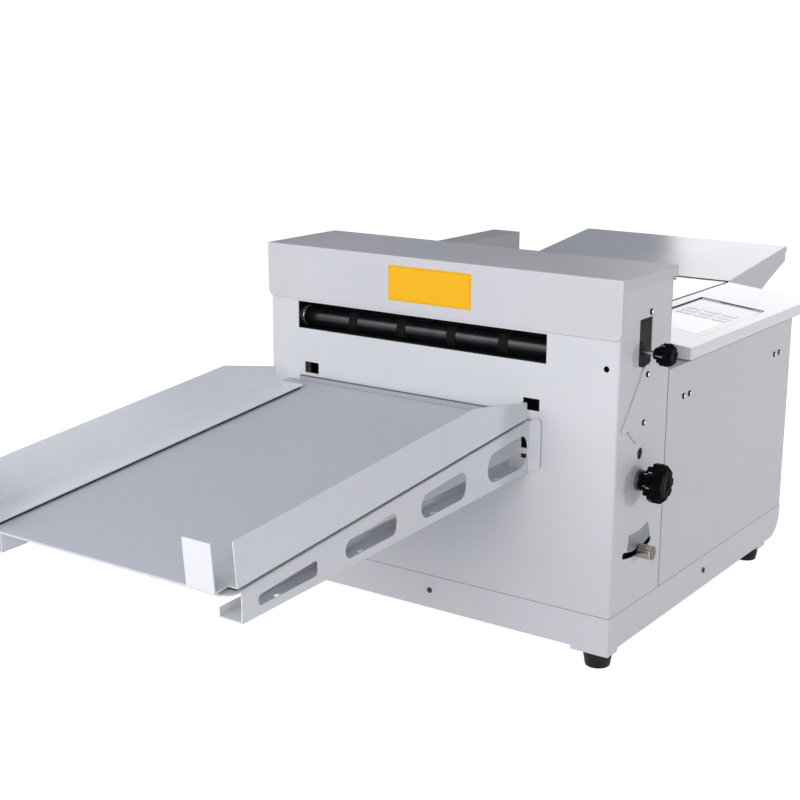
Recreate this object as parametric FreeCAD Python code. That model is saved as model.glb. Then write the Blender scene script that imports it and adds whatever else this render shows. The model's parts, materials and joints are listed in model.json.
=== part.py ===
import FreeCAD, Part
import math
import os

# Desktop paper creasing machine.
# Sheets are fed from the table at the back, pass the creasing die in the head, and leave
# through the window in the front onto the delivery tray.
#
# Machine axes while modelling, in millimetres: X to the right as seen from the delivery
# side, Y from the front panel towards the feed table, Z up from the surface under the feet.
# The finished pieces are moved so that the origin is the bottom centre of the whole machine.

V = FreeCAD.Vector

# ---------------------------------------------------------------- sheet metal
SHEET = 1.5                  # casing sheet
BEND = 3.0                   # outer bend radius of the casing
GAP = 0.3                    # gap between parts that only face each other
RUN = 0.05                   # radial clearance of a shaft in its bearing
HOLE_PLAY = 0.5              # clearance round a part that passes through the casing
GRAIN = 0.03                 # gap between parts that lie on each other

# ---------------------------------------------------------------- roller train, front to back
ROLLER_R = 12.5
TYRE_T = 1.0
DIE_HALF_W = 12.0
BED_WALL = 4.0
BED_CLEAR = 0.5              # from the exit tyres to the die bed
BED_CLEAR_BACK = 12.5        # from the die bed to the infeed tyres
HEAD_BACK = 25.0             # from the infeed roller to the back of the head
EXIT_Y = 31.0
BED_HALF_W = DIE_HALF_W + BED_WALL
TOOL_Y = EXIT_Y + ROLLER_R + TYRE_T + BED_CLEAR + BED_HALF_W     # plane of the crease line
INFEED_Y = TOOL_Y + BED_HALF_W + BED_CLEAR_BACK + TYRE_T + ROLLER_R

# ---------------------------------------------------------------- body
BODY_W = 490.0
BODY_D = 525.0
FOOT_H = 19.5
FOOT_PLATE_H = 4.5
PAN_H = 42.0
HEAD_H = 388.5
REAR_DROP = 120.5            # the rear body is this much lower than the head
PAN_T = 2.0
PAN_CORNER = 32.0            # round at the lower back corner of the pan
SEAM_GAP = 0.8               # open joint between the head and the rear body
SEAM_FLANGE = 12.0
SEAM_FLANGE_FRONT = 4.0
PAN_SCREW_DROP = 19.2
SIDE_SCREW_DROP = 40.0
SIDE_SCREW_PITCH = 17.0
SIDE_SCREW_INSET = 45.0
DECK_SKIRT = 60.0
BACK_LAP = 19.0              # the back sheet of the head reaches this far below the rear top
BACK_FLANGE = 12.0

HALF_W = BODY_W / 2
HEAD_D = INFEED_Y + HEAD_BACK
Z_PAN = FOOT_H + FOOT_PLATE_H
Z_PAN_FLOOR = Z_PAN + PAN_T
Z_BODY = Z_PAN + PAN_H
Z_HEAD_TOP = Z_BODY + HEAD_H
Z_REAR_TOP = Z_HEAD_TOP - REAR_DROP
PAN_SCREW_Z = Z_BODY - PAN_SCREW_DROP

# ---------------------------------------------------------------- feet
FOOT_R_TOP = 18.0
FOOT_R_BOTTOM = 14.5
FOOT_ROUND = 1.5
FOOT_INSET = 22.0
FOOT_Y_FRONT = 19.0
FOOT_INSET_REAR = 63.0
FOOT_PLATE_W = 48.0
FOOT_PLATE_D = 25.0
FOOT_BOLT_R = 2.5
FOOT_BOLT_HEAD_R = 5.0
FOOT_BOLT_HEAD_H = 4.0
FOOT_RECESS_H = 9.0
FOOT_X = HALF_W - FOOT_INSET
FOOT_Y_REAR = BODY_D - FOOT_INSET_REAR

# ---------------------------------------------------------------- paper path
PATH_X = -22.5               # centre of the paper path in the head
PATH_MARGIN = 63.0           # half of the body is this much wider than half of the path
NIP_DROP = 78.5              # from the top of the head to the sheet in it
NIP_PLAY = 0.3               # gap left for the sheet between the rollers
PATH_HALF = HALF_W - PATH_MARGIN
Z_NIP = Z_HEAD_TOP - NIP_DROP

# ---------------------------------------------------------------- side frames inside the head
FRAME_T = 5.0
FRAME_REACH = 22.5           # from the edge of the path to the frame
FRAME_INSET = 6.0
FRAME_DROP = 9.5
FRAME_FOOT = 20.0
FRAME_ROUND = 8.0
TIE_R = 5.0
TIE_END_R = 3.0
TIE_END_L = 3.0
TIE_INSET_FRONT, TIE_INSET_BACK = 9.0, 10.0
TIE_LOW, TIE_DROP = 34.0, 15.0
FRAME_HALF = PATH_HALF + FRAME_REACH
FRAME_Y0, FRAME_Y1 = FRAME_INSET, HEAD_D - FRAME_INSET
FRAME_TOP = Z_HEAD_TOP - FRAME_DROP
FRAME_L1 = PATH_X - FRAME_HALF          # inner face of the left frame
FRAME_L0 = FRAME_L1 - FRAME_T
FRAME_R0 = PATH_X + FRAME_HALF          # inner face of the right frame
FRAME_R1 = FRAME_R0 + FRAME_T
TIE_SPOTS = [(y, z) for z in (Z_BODY + TIE_LOW, FRAME_TOP - TIE_DROP)
             for y in (FRAME_Y0 + TIE_INSET_FRONT, FRAME_Y1 - TIE_INSET_BACK)]

# ---------------------------------------------------------------- rollers
TYRE_SEAT = 1.0              # depth of the groove that holds a tyre
TYRE_W = 12.0
TYRE_PITCH = 72.0
TYRE_COUNT = 4
ROLLER_OVER = 0.5            # the rollers are this much longer than the path, at each end
COLLAR_STEP = 0.5
COLLAR_W = 9.0
COLLAR_RIB = 0.6
COLLAR_RIB_W = 2.0
ROLLER_SHAFT_R = 5.0
PINCH_R = 9.0
PINCH_W = 20.0
PINCH_CHAMFER = 0.8
PINCH_SHAFT_R = 3.5
PINCH_LIFT = 4.0             # room above the pinch shaft in its slot
SHAFT_END = 2.0              # shafts stand this far out of the frames
BEARING_R = 11.0
BEARING_RIM = 1.5
BEARING_FLANGE = 1.5
ROLLER_HALF = PATH_HALF + ROLLER_OVER
COLLAR_R = ROLLER_R - COLLAR_STEP
Z_ROLLER = Z_NIP - TYRE_T - ROLLER_R
Z_PINCH = Z_NIP + NIP_PLAY + PINCH_R

# ---------------------------------------------------------------- creasing tool
DIE_H = 17.5
DIE_BELOW_NIP = 0.5
DIE_END_INSET = 7.0          # from the outside of the casing to the end of the die
DIE_ROUND = 1.0
GROOVE_W = 1.6
GROOVE_D = 2.0
BED_H = 36.5
BED_BELOW_NIP = 1.5
DIE_PLAY = 0.3
BLADE_T = 1.0
BLADE_ABOVE_NIP = 2.5
BLADE_DEPTH = 9.5
BLADE_SHORT = 1.5
BEAM_HALF_W = 11.0
BEAM_ABOVE_NIP = 9.0
BEAM_H = 40.0
BEAM_WEB = 7.0
BEAM_RIM = 12.0
BEAM_RIM_TOP = 8.0
RAM_STROKE = 4.0
ROD_BELOW_NIP = 9.0
ROD_R = 3.0
ROD_GRIP = 15.0
ROD_IN_KNOB = 12.0
TOOL_KNOB_R = 13.0
TOOL_KNOB_HUB_R = 8.0
TOOL_KNOB_LOBES = 6
TOOL_KNOB_STANDOFF = 13.0
TOOL_KNOB_NECK_L = 8.0
TOOL_KNOB_RIM_L = 15.0
DIE_TOP = Z_NIP - DIE_BELOW_NIP
DIE_X0, DIE_X1 = PATH_X - ROLLER_HALF, HALF_W - DIE_END_INSET
BED_TOP = Z_NIP - BED_BELOW_NIP
BED_Z0 = BED_TOP - BED_H
BLADE_TIP = Z_NIP + BLADE_ABOVE_NIP
BLADE_HALF = PATH_HALF - BLADE_SHORT
BEAM_Z0 = Z_NIP + BEAM_ABOVE_NIP
BEAM_Z1 = BEAM_Z0 + BEAM_H
ROD_Z = Z_NIP - ROD_BELOW_NIP
TOOL_KNOB_X0 = HALF_W + TOOL_KNOB_STANDOFF
TOOL_KNOB_RIM_X0 = TOOL_KNOB_X0 + TOOL_KNOB_NECK_L
TOOL_KNOB_X1 = TOOL_KNOB_RIM_X0 + TOOL_KNOB_RIM_L

# ---------------------------------------------------------------- shape of the moulded knobs
KNOB_NECK_FLARE = 1.15       # neck at the rim, as a share of the neck
KNOB_FLUTE = 0.42            # flute, as a share of the spacing of the lobes
KNOB_FLUTE_OUT = 0.35        # how far its centre lies outside the rim
KNOB_DOME_BACK, KNOB_DOME_FACE = 1.25, 0.72
KNOB_RIB = 0.16              # ribs of the neck, as a share of the neck
KNOB_RIB_INSET = 2.0
KNOB_SOLID = 0.4             # share of the rim that the bore leaves solid

# ---------------------------------------------------------------- main shaft and hand wheel
MAIN_BELOW_NIP = 158.5
MAIN_R = 7.0
MAIN_END = 21.0              # from the outside of the casing to the end of the shaft
MAIN_TAIL = 4.0
ECC_R = 14.0
ECC_THROW = 3.0
BUSH_WALL = 2.0              # bush of the main shaft in the side of the casing
BUSH_INSIDE = 2.0
BUSH_FLANGE_R = 12.5
BUSH_FLANGE_T = 3.5
WHEEL_R = 23.0
WHEEL_HUB_R = 12.0
WHEEL_GAP = 1.5              # from the flange of the bush to the wheel
WHEEL_NECK_L = 12.0
WHEEL_RIM_L = 18.0
WHEEL_LOBES = 8
PULLEY_GAP = 13.0            # from the right frame to its belt pulleys
PULLEY_W = 12.0
MAIN_PULLEY_R = 22.0
MOTOR_PULLEY_R = 11.0
PULLEY_FLANGE = 1.5
PULLEY_RIM = 0.5
BELT_T = 1.5
CREASE_MOTOR_DROP = 97.5     # from the main shaft down to the motor shaft
CREASE_MOTOR_R = 28.0
CREASE_MOTOR_L = 88.0
GEARBOX_L = 26.0
GEARBOX_STEP = 2.0
TAIL_L, TAIL_R = 6.0, 9.0
MOTOR_SHAFT_R = 4.0
MAIN_Z = Z_NIP - MAIN_BELOW_NIP
MAIN_X1 = HALF_W + MAIN_END
BUSH_FLANGE_X = HALF_W + BUSH_FLANGE_T
WHEEL_X0 = BUSH_FLANGE_X + WHEEL_GAP
WHEEL_RIM_X0 = WHEEL_X0 + WHEEL_NECK_L
WHEEL_X1 = WHEEL_RIM_X0 + WHEEL_RIM_L
PULLEY_X0 = FRAME_R1 + PULLEY_GAP
PULLEY_X1 = PULLEY_X0 + PULLEY_W
CREASE_MOTOR_Z = MAIN_Z - CREASE_MOTOR_DROP

# ---------------------------------------------------------------- ram yokes
YOKE_T = 6.0
YOKE_REACH = 14.5            # from the edge of the path to the yoke
YOKE_FOOT = 23.5             # from the main shaft to the lower end of the yoke
YOKE_HEAD = 5.0              # from the beam to the upper end of the yoke
YOKE_ROUND = 6.0
YOKE_PLAY = 0.6
YOKE_CLEAR = 1.0             # from the yoke to the die bed and to the exit shaft
GUIDE_ABOVE_MAIN = 50.5
GUIDE_L = 54.0
GUIDE_T = 10.0
GUIDE_LIP = 4.0
GUIDE_GRIP = 4.0
GUIDE_PLAY = 0.1
YOKE_HALF = PATH_HALF + YOKE_REACH
YOKE_HALF_W = TOOL_Y - EXIT_Y - ROLLER_SHAFT_R - YOKE_CLEAR
YOKE_Z0, YOKE_Z1 = MAIN_Z - YOKE_FOOT, BEAM_Z1 + YOKE_HEAD
GUIDE_Z0 = MAIN_Z + GUIDE_ABOVE_MAIN
GUIDE_Z1 = GUIDE_Z0 + GUIDE_L

# ---------------------------------------------------------------- transport drive at the left
SMALL_PULLEY_W = 6.0
SMALL_PULLEY_GAP = 2.0
SMALL_PULLEY_R = 9.5
STEP_PULLEY_R = 7.0
STEP_SHAFT_R = 2.5
STEP_MOTOR_BACK = 2.5        # the motor is this far behind the infeed roller
STEP_MOTOR_DROP = 122.5      # and this far below it
STEP_MOTOR_W = 36.0
STEP_MOTOR_L = 45.0
STEP_MOTOR_ROUND = 4.0
SMALL_PULLEY_X1 = FRAME_L0 - SMALL_PULLEY_GAP
SMALL_PULLEY_X0 = SMALL_PULLEY_X1 - SMALL_PULLEY_W
STEP_MOTOR_Y, STEP_MOTOR_Z = INFEED_Y + STEP_MOTOR_BACK, Z_ROLLER - STEP_MOTOR_DROP

# ---------------------------------------------------------------- depth lever
LEVER_ABOVE_MAIN = 31.5
LEVER_RADIUS = 119.0
LEVER_T = 3.0
LEVER_INSET = 11.0           # from the outside of the casing to the lever
LEVER_REST = 3.8             # degrees from hanging straight down, towards the back
LEVER_FRONT, LEVER_BACK = -14.5, 17.5     # degrees, ends of the travel
LEVER_SHAFT_R = 5.0
LEVER_HUB_R = 13.0
LEVER_BUSH_R = 6.8
LEVER_WINDOW_PLAY = 1.5
LEVER_WEB_RIM = 8.0
LEVER_WEB_ANGLE = 37.0       # degrees, half of the web
LEVER_ARM_ANGLE = 14.0       # degrees, half of the arm where it leaves the web
LEVER_TIP_ANGLE = 3.6        # degrees, half of the arm at its tip
LEVER_NOSE_R = 7.5
STUD_R = 3.0
STUD_REACH = 3.0
ARC_SLOT_W = 7.6
DEPTH_KNOB_R = 8.6
DEPTH_KNOB_L = 17.0
DEPTH_KNOB_GAP = 1.8
DEPTH_KNOB_CHAMFER = 0.8
SCALE_W = 19.0
SCALE_GAP = 5.0
SCALE_A0, SCALE_A1 = -11.0, 18.0
SCALE_T = 0.8
LEVER_Z = MAIN_Z + LEVER_ABOVE_MAIN
LEVER_X0 = HALF_W - LEVER_INSET
SCALE_R1 = LEVER_RADIUS - SCALE_GAP
SCALE_R0 = SCALE_R1 - SCALE_W

# ---------------------------------------------------------------- tool slot and its door
SLOT_FRONT, SLOT_BACK = 14.0, 18.0       # from the tool to the edges of the slot
SLOT_DOWN, SLOT_UP = 23.0, 29.6          # from the sheet to the ends of the slot
SLOT_POINT = 4.5
DOOR_BACK, DOOR_DOWN = 6.3, 35.3         # pivot, from the tool and the sheet
DOOR_END_R = 11.0
DOOR_T = 1.5
DOOR_SCREW_L = 7.0
DOOR_LEFT = (-51.5, -48.3)               # corners of the open door, Y and Z from its pivot
DOOR_HOOK = [(-57.2, -52.8), (-55.4, -59.0), (-39.6, -57.9), (-40.5, -61.1)]
DOOR_RIGHT = (-20.2, -77.4)
LATCH_BACK, LATCH_UP = 12.9, 35.3
CASE_SCREW_BACK, CASE_SCREW_DOWN = 5.6, 91.7
SLOT_Y0, SLOT_Y1 = TOOL_Y - SLOT_FRONT, TOOL_Y + SLOT_BACK
SLOT_Z0, SLOT_Z1 = Z_NIP - SLOT_DOWN, Z_NIP + SLOT_UP
DOOR_PIVOT_Y, DOOR_PIVOT_Z = TOOL_Y + DOOR_BACK, Z_NIP - DOOR_DOWN
LATCH_Y, LATCH_Z = TOOL_Y + LATCH_BACK, Z_NIP + LATCH_UP
CASE_SCREW_Y, CASE_SCREW_Z = TOOL_Y + CASE_SCREW_BACK, Z_NIP - CASE_SCREW_DOWN

# ---------------------------------------------------------------- head cover
COVER_PLAY = 0.8
COVER_OVERHANG = 7.5
COVER_LIP = 67.3
COVER_SIDE = 12.0
COVER_LIP_R = 9.0
HINGE_BACK, HINGE_DROP = 5.5, 5.2        # axis, from the back and the top of the head
HINGE_R = 4.0
HINGE_PIN_R = 1.5
HINGE_PIN_L = 42.0
HINGE_WEB = 3.0
HINGE_KNUCKLE = 14.0
HINGE_KNUCKLE_FIXED = 12.0
HINGE_LEAF_W = 48.0
HINGE_LEAF_UP, HINGE_LEAF_DOWN = 3.0, 26.0
HINGE_INSET = 45.0
LABEL_X = -4.0
LABEL_W, LABEL_H = 116.0, 42.4
LABEL_DROP = 9.5
LABEL_T = 0.5
LABEL_ROUND = 2.0
HINGE_Y, HINGE_Z = HEAD_D + HINGE_BACK, Z_HEAD_TOP - HINGE_DROP
HINGE_X = [HINGE_INSET - HALF_W, HALF_W - HINGE_INSET]
LABEL_Z1 = Z_HEAD_TOP - LABEL_DROP

# ---------------------------------------------------------------- feed table
TABLE_GAP = 57.0             # from the head to the table
TABLE_OVERHANG = 64.0        # behind the body
TABLE_SIDE = 2.0             # the table stands this far out of the body on each side
TABLE_H = 29.3               # from the rear top to the table
TABLE_SKIRT_GAP = 1.5        # between the skirt and the rear top
CONSOLE_W = 126.0            # sloping part of the table
CONSOLE_DROP = 13.2
LEG_W = 30.0
LEG_INSET = 35.0
LEG_INSET_CONSOLE = 36.0
LEG_INSET_FRONT = 30.0
LEG_INSET_BACK = 45.0
MOUTH_X = -25.0
TONGUE_OVER, MOUTH_OVER = 1.0, 5.0       # wider than the path, at each end
TONGUE_ROOT = 4.0
TONGUE_BELOW_NIP = 1.0
TONGUE_END = 9.0             # inside the back of the head
MOUTH_DOWN, MOUTH_UP = 8.0, 20.0
PANEL_INSET_FLAT, PANEL_INSET_EDGE = 19.0, 18.0
PANEL_FRONT, PANEL_L = 70.0, 202.0
PANEL_ROUND = 2.0
PANEL_SINK = 4.0
PANEL_GROOVE = 1.2
PANEL_RIM = 10.0             # the panel is this much larger than its opening
PANEL_H = 8.0
PANEL_BUSH_R = 3.0
SCREEN_INSET = 10.0
SCREEN_L = 80.0
SCREEN_T = 1.2
TABLE_Y0, TABLE_Y1 = HEAD_D + TABLE_GAP, BODY_D + TABLE_OVERHANG
TABLE_HALF = HALF_W + TABLE_SIDE
Z_TABLE = Z_REAR_TOP + TABLE_H
CONSOLE_X0 = TABLE_HALF - CONSOLE_W
LEG_X = [LEG_INSET - HALF_W, CONSOLE_X0 - LEG_INSET_CONSOLE]
LEG_Y = [TABLE_Y0 + LEG_INSET_FRONT, BODY_D - LEG_INSET_BACK]
TONGUE_HALF, MOUTH_HALF = PATH_HALF + TONGUE_OVER, PATH_HALF + MOUTH_OVER
TONGUE_END_Y = HEAD_D - TONGUE_END
MOUTH_Z0, MOUTH_Z1 = Z_NIP - MOUTH_DOWN, Z_NIP + MOUTH_UP
PANEL_X0, PANEL_X1 = CONSOLE_X0 + PANEL_INSET_FLAT, TABLE_HALF - PANEL_INSET_EDGE
PANEL_Y0 = TABLE_Y0 + PANEL_FRONT
PANEL_Y1 = PANEL_Y0 + PANEL_L

# ---------------------------------------------------------------- feed wheels
FEED_BACK = 30.0             # behind the head
FEED_WHEEL_R = 25.0
FEED_WHEEL_W = 20.0
FEED_WHEEL_PITCH = 60.0
FEED_WHEEL_LIFT = 1.0        # above the tongue
FEED_SHAFT_R = 5.0
FEED_SHAFT_END = 8.0
FEED_HALF = 110.0
FEED_EAR_T = 3.0
FEED_EAR_RIM = 6.0
FEED_EAR_DOWN, FEED_EAR_UP = 8.0, 14.0
FEED_EAR_TAB_D, FEED_EAR_TAB_H = 12.0, 16.0
PAD_HALF_D = 8.0
PAD_T = 4.0
PAD_LIFT = 0.2
PAD_CARRIER_T = 3.0
PAD_OVERHANG = 16.0
PAD_LEG_W = 6.0
PAD_SLOT_PLAY = 1.0
FEED_Y = HEAD_D + FEED_BACK

# ---------------------------------------------------------------- infeed tray and side guides
INFEED_INSET = 17.0          # from the left side of the body
INFEED_GAP = 1.5             # from the table
INFEED_L = 227.5             # measured level
INFEED_ANGLE = 6.4
INFEED_SIDE = 21.0
INFEED_HEM = 10.0
GUSSET_H = 72.0              # below the rear top
GUSSET_FOOT_W = 20.0
GUSSET_TOP_GAP = 1.0
GUSSET_SLOPE = [(49.5, 0.0), (127.5, 60.0), (134.5, 71.0), (157.5, 81.0)]
GUSSET_SCREW_IN, GUSSET_SCREW_END = 12.0, 13.0
GUIDE_H = 44.0
LEFT_GUIDE_INSET = 5.0
LEFT_GUIDE_END = 1.0
RIGHT_GUIDE_INSET = 15.0
RIGHT_GUIDE_L = 180.0
GUIDE_TOP_W = 47.0
GUIDE_FOOT_W = 14.0
GUIDE_EDGE = 12.0
INFEED_X0, INFEED_X1 = INFEED_INSET - HALF_W, CONSOLE_X0
INFEED_Y0 = TABLE_Y1 + INFEED_GAP
INFEED_Y1 = INFEED_Y0 + INFEED_L
GUSSET_Z = Z_REAR_TOP - GUSSET_H
LEFT_GUIDE_Y0, LEFT_GUIDE_Y1 = TABLE_Y0 + LEFT_GUIDE_INSET, TABLE_Y1 - LEFT_GUIDE_END
RIGHT_GUIDE_Y0 = TABLE_Y0 + RIGHT_GUIDE_INSET
RIGHT_GUIDE_Y1 = RIGHT_GUIDE_Y0 + RIGHT_GUIDE_L

# ---------------------------------------------------------------- delivery tray
TRAY_X = -40.0               # centre of the tray
TRAY_NARROW = 5.0            # narrower than the path, on each side
TRAY_L = 522.0
TRAY_BELOW_NIP = 90.0
TRAY_ANGLE = 5.5
TRAY_FRONT_GAP = 2.0
TRAY_LIP = 7.0
TRAY_LIP_INSET = 20.0
TRAY_HEM = 2.5
TRAY_CORNER = 12.0           # round at the front corners
RAIL_INSET_LEFT, RAIL_INSET_RIGHT = 36.0, 1.0
RAIL_DEPTH = 62.8            # from the tray down to the rail's lower edge at the panel
RAIL_FALL = 0.0368           # fall of the lower edge per unit of length
RAIL_SHORT = 19.0            # the rails end this much before the tray
RAIL_PLAY = 1.5              # between the rails and the front panel
RAIL_TOP_W = 18.0
RAIL_BOTTOM_W = 28.0
RAIL_LIP = 10.0              # turned-up edge of the lower flange
RAIL_END_W = 15.0
RAIL_END_ROUND = 5.0
RAIL_END_LIFT = 6.0          # the outer edge of the ear starts this much higher
RAIL_END_RISE = 8.0          # and ends this much higher, beside the tray
RAIL_SLOT_L = 87.0
RAIL_SLOT_FIRST = 4.5        # from the panel to the first slot
RAIL_SLOT_LAST = 22.0        # from the last slot to the end of the rail
RAIL_SLOT_COUNT = 4
RAIL_MARGIN_TOP = 13.0
RAIL_MARGIN_BOTTOM = 9.0
RAIL_SLOT_R = 18.0
RAIL_HOLE_R = 4.0
HOOK_TAB_UP = 5.2            # above the rail's lower edge
HOOK_TAB_H = 14.0
HOOK_TAB_L = 8.0
SPARE_HOLES = [(15.0, 5.0), (27.0, 16.0)]    # height above the rail's lower edge, and size
SPARE_HOLE_X = (-12.0, -4.0)
HOOK_HOLE_UP = 9.9           # above the tray
HOOK_HOLE_W, HOOK_HOLE_H = 21.4, 14.0
SIDE_WALL_H = 46.0
SIDE_WALL_LOW = 19.0
SIDE_WALL_SLOPE_L = 120.0    # length of the part of the tray beside the falling wall
SIDE_FLANGE = 44.0
STRIP_T = 3.0
STRIP_W = 38.0
STRIP_INSET = 2.0
STRIP_END = 3.0
STOP_W = 33.5
STOP_H = 48.5
STOP_REACH = 18.0
SIDE_FRONT = 10.0            # from the front edge of the tray to the guides
SIDE_END_RIGHT = -9.0
SIDE_END_LEFT = -28.0
GUIDE_HOLE_R = 2.2
GUIDE_HOLE_END = 12.0
GUIDE_HOLES = (10.0, 24.0)
TRAY_HALF = PATH_HALF - TRAY_NARROW
TRAY_X0, TRAY_X1 = TRAY_X - TRAY_HALF, TRAY_X + TRAY_HALF
TRAY_Z = Z_NIP - TRAY_BELOW_NIP
RAIL_X = [TRAY_X0 + RAIL_INSET_LEFT, TRAY_X1 - RAIL_INSET_RIGHT]     # outer faces of the webs
RAIL_L = TRAY_L - RAIL_SHORT
RAIL_Z_WALL = TRAY_Z - RAIL_DEPTH
RAIL_SLOT_PITCH = (RAIL_L - RAIL_SLOT_FIRST - RAIL_SLOT_LAST - RAIL_SLOT_L) / (RAIL_SLOT_COUNT - 1)
HOOK_TAB_Z0 = RAIL_Z_WALL + HOOK_TAB_UP
HOOK_TAB_Z1 = HOOK_TAB_Z0 + HOOK_TAB_H
HOOK_HOLE_Z0 = TRAY_Z + HOOK_HOLE_UP
HOOK_HOLE_Z1 = HOOK_HOLE_Z0 + HOOK_HOLE_H

# ---------------------------------------------------------------- front window
WINDOW_X = -23.7
WINDOW_SHORT = 4.4           # shorter than the path, at each end
WINDOW_DOWN, WINDOW_UP = 23.7, 10.2
WINDOW_LIP = 7.0
PEEP_R = 3.5                 # round hole at the right of the front panel
PEEP_INSET, PEEP_DOWN = 15.7, 19.8
WINDOW_HALF = PATH_HALF - WINDOW_SHORT
WINDOW_X0, WINDOW_X1 = WINDOW_X - WINDOW_HALF, WINDOW_X + WINDOW_HALF
WINDOW_Z0, WINDOW_Z1 = Z_NIP - WINDOW_DOWN, Z_NIP + WINDOW_UP
PEEP_X, PEEP_Z = HALF_W - PEEP_INSET, Z_NIP - PEEP_DOWN

# ---------------------------------------------------------------- back panel
INLET_INSET, INLET_UP = 65.0, 54.0       # centre, from the left side and above the pan
INLET_W, INLET_H = 28.0, 48.0
INLET_DEPTH = 24.0
INLET_WALL = 3.0
INLET_MOUTH_H, INLET_MOUTH_D = 24.0, 18.0
INLET_FLANGE = 4.0
INLET_FLANGE_T = 2.5
INLET_BLADE_L = 16.0
INLET_BLADE_W, INLET_BLADE_H = 2.0, 4.0
INLET_BLADES = [(3.0, -7.0), (3.0, 7.0), (-4.0, 0.0)]
SWITCH_PITCH = 26.5          # from the socket to the switch
SWITCH_W, SWITCH_H = 15.0, 21.0
SWITCH_WALL = 1.5
SWITCH_DEPTH, SWITCH_WELL = 16.0, 14.0
ROCKER_PIN_R = 1.2
ROCKER_BACK = 4.0            # axis, inside the back panel
ROCKER_HALF_H = 5.5
ROCKER_FACE_H = 6.4
ROCKER_RISE, ROCKER_DIP = 5.5, 4.4
ROCKER_TILT = 8.0
VENT_BANKS = (185.0, 95.0)   # from the right side to the middle of each bank
VENT_UP = 40.0
VENT_COUNT = 8
VENT_L, VENT_W, VENT_PITCH = 60.0, 4.0, 10.0
INLET_X, INLET_Z = INLET_INSET - HALF_W, Z_BODY + INLET_UP
SWITCH_X, SWITCH_Z = INLET_X + SWITCH_PITCH, INLET_Z
ROCKER_Y = BODY_D - ROCKER_BACK

# ---------------------------------------------------------------- electrics in the rear body
BOARD_X, BOARD_W = -80.0, 200.0
BOARD_BACK, BOARD_D = 95.0, 130.0        # from the back panel to the board, and its depth
BOARD_T = 1.6
BOARD_LIFT = 10.0
POST_R, POST_INSET = 3.0, 8.0
CHIP_X, CHIP_W, CHIP_T = -50.0, 40.0, 3.4
PLUG_X, PLUG_W, PLUG_D, PLUG_T = 50.0, 60.0, 20.0, 10.4
SUPPLY_X, SUPPLY_W, SUPPLY_D, SUPPLY_H = 130.0, 140.0, 100.0, 42.0

# ---------------------------------------------------------------- screws
SCREW_R = 2.0
SCREW_HEAD_R = 3.6
SCREW_HEAD_H = 2.2
SCREW_L = 8.0
SHELL_SCREW_L = 5.0
HEAD_SCREW_L = 4.0


# ================================================================ helpers
def block(x0, x1, y0, y1, z0, z1):
    return Part.makeBox(x1 - x0, y1 - y0, z1 - z0, V(x0, y0, z0))


def rod_x(x0, x1, y, z, r):
    return Part.makeCylinder(r, x1 - x0, V(x0, y, z), V(1, 0, 0))


def rod_y(y0, y1, x, z, r):
    return Part.makeCylinder(r, y1 - y0, V(x, y0, z), V(0, 1, 0))


def rod_z(z0, z1, x, y, r):
    return Part.makeCylinder(r, z1 - z0, V(x, y, z0), V(0, 0, 1))


def ring_x(x0, x1, y, z, r_out, r_in):
    return rod_x(x0, x1, y, z, r_out).cut(rod_x(x0 - 1, x1 + 1, y, z, r_in))


def prism_yz(points, x0, x1):
    corners = [V(x0, y, z) for y, z in points]
    face = Part.Face(Part.makePolygon(corners + [corners[0]]))
    return face.extrude(V(x1 - x0, 0, 0))


def prism_xz(points, y0, y1):
    corners = [V(x, y0, z) for x, z in points]
    face = Part.Face(Part.makePolygon(corners + [corners[0]]))
    return face.extrude(V(0, y1 - y0, 0))


def fuse(shapes):
    whole = shapes[0]
    for shape in shapes[1:]:
        whole = whole.fuse(shape)
    return whole.removeSplitter()


def round_edges(shape, radius, chosen):
    """Fillet the straight edges whose middle point passes the test."""
    edges = [e for e in shape.Edges if isinstance(e.Curve, Part.Line) and chosen(e)]
    return shape.makeFillet(radius, edges) if edges else shape


def runs_along(edge, axis):
    direction = edge.tangentAt(edge.FirstParameter)
    return abs(abs(direction.dot(axis)) - 1) < 1e-6


def middle(edge):
    return edge.valueAt((edge.FirstParameter + edge.LastParameter) / 2)


def polar(angle, radius, y, z):
    """Point in the YZ plane; the angle runs from +Y towards +Z."""
    a = math.radians(angle)
    return y + radius * math.cos(a), z + radius * math.sin(a)


def hanging(angle, radius, y, z):
    """Point in the YZ plane; the angle runs from straight down towards +Y."""
    a = math.radians(angle)
    return y + radius * math.sin(a), z - radius * math.cos(a)


def arc_band(y, z, r0, r1, a0, a1, x0, x1, rounded=False):
    """Part of a ring about an X axis, between two hanging angles."""
    def at(angle, radius):
        py, pz = hanging(angle, radius, y, z)
        return V(x0, py, pz)

    mid = (a0 + a1) / 2
    inner = Part.Arc(at(a0, r0), at(mid, r0), at(a1, r0)).toShape()
    outer = Part.Arc(at(a1, r1), at(mid, r1), at(a0, r1)).toShape()
    side1 = Part.makeLine(at(a1, r0), at(a1, r1))
    side0 = Part.makeLine(at(a0, r1), at(a0, r0))
    band = Part.Face(Part.Wire([inner, side1, outer, side0])).extrude(V(x1 - x0, 0, 0))
    if rounded:
        r_mid, r_end = (r0 + r1) / 2, (r1 - r0) / 2
        for angle in (a0, a1):
            py, pz = hanging(angle, r_mid, y, z)
            band = band.fuse(rod_x(x0, x1, py, pz, r_end))
        band = band.removeSplitter()
    return band


def slot_x(x0, x1, y, z0, z1, r):
    """Upright obround through a plate, along X."""
    return fuse([block(x0, x1, y - r, y + r, z0 + r, z1 - r),
                 rod_x(x0, x1, y, z0 + r, r), rod_x(x0, x1, y, z1 - r, r)])


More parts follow.
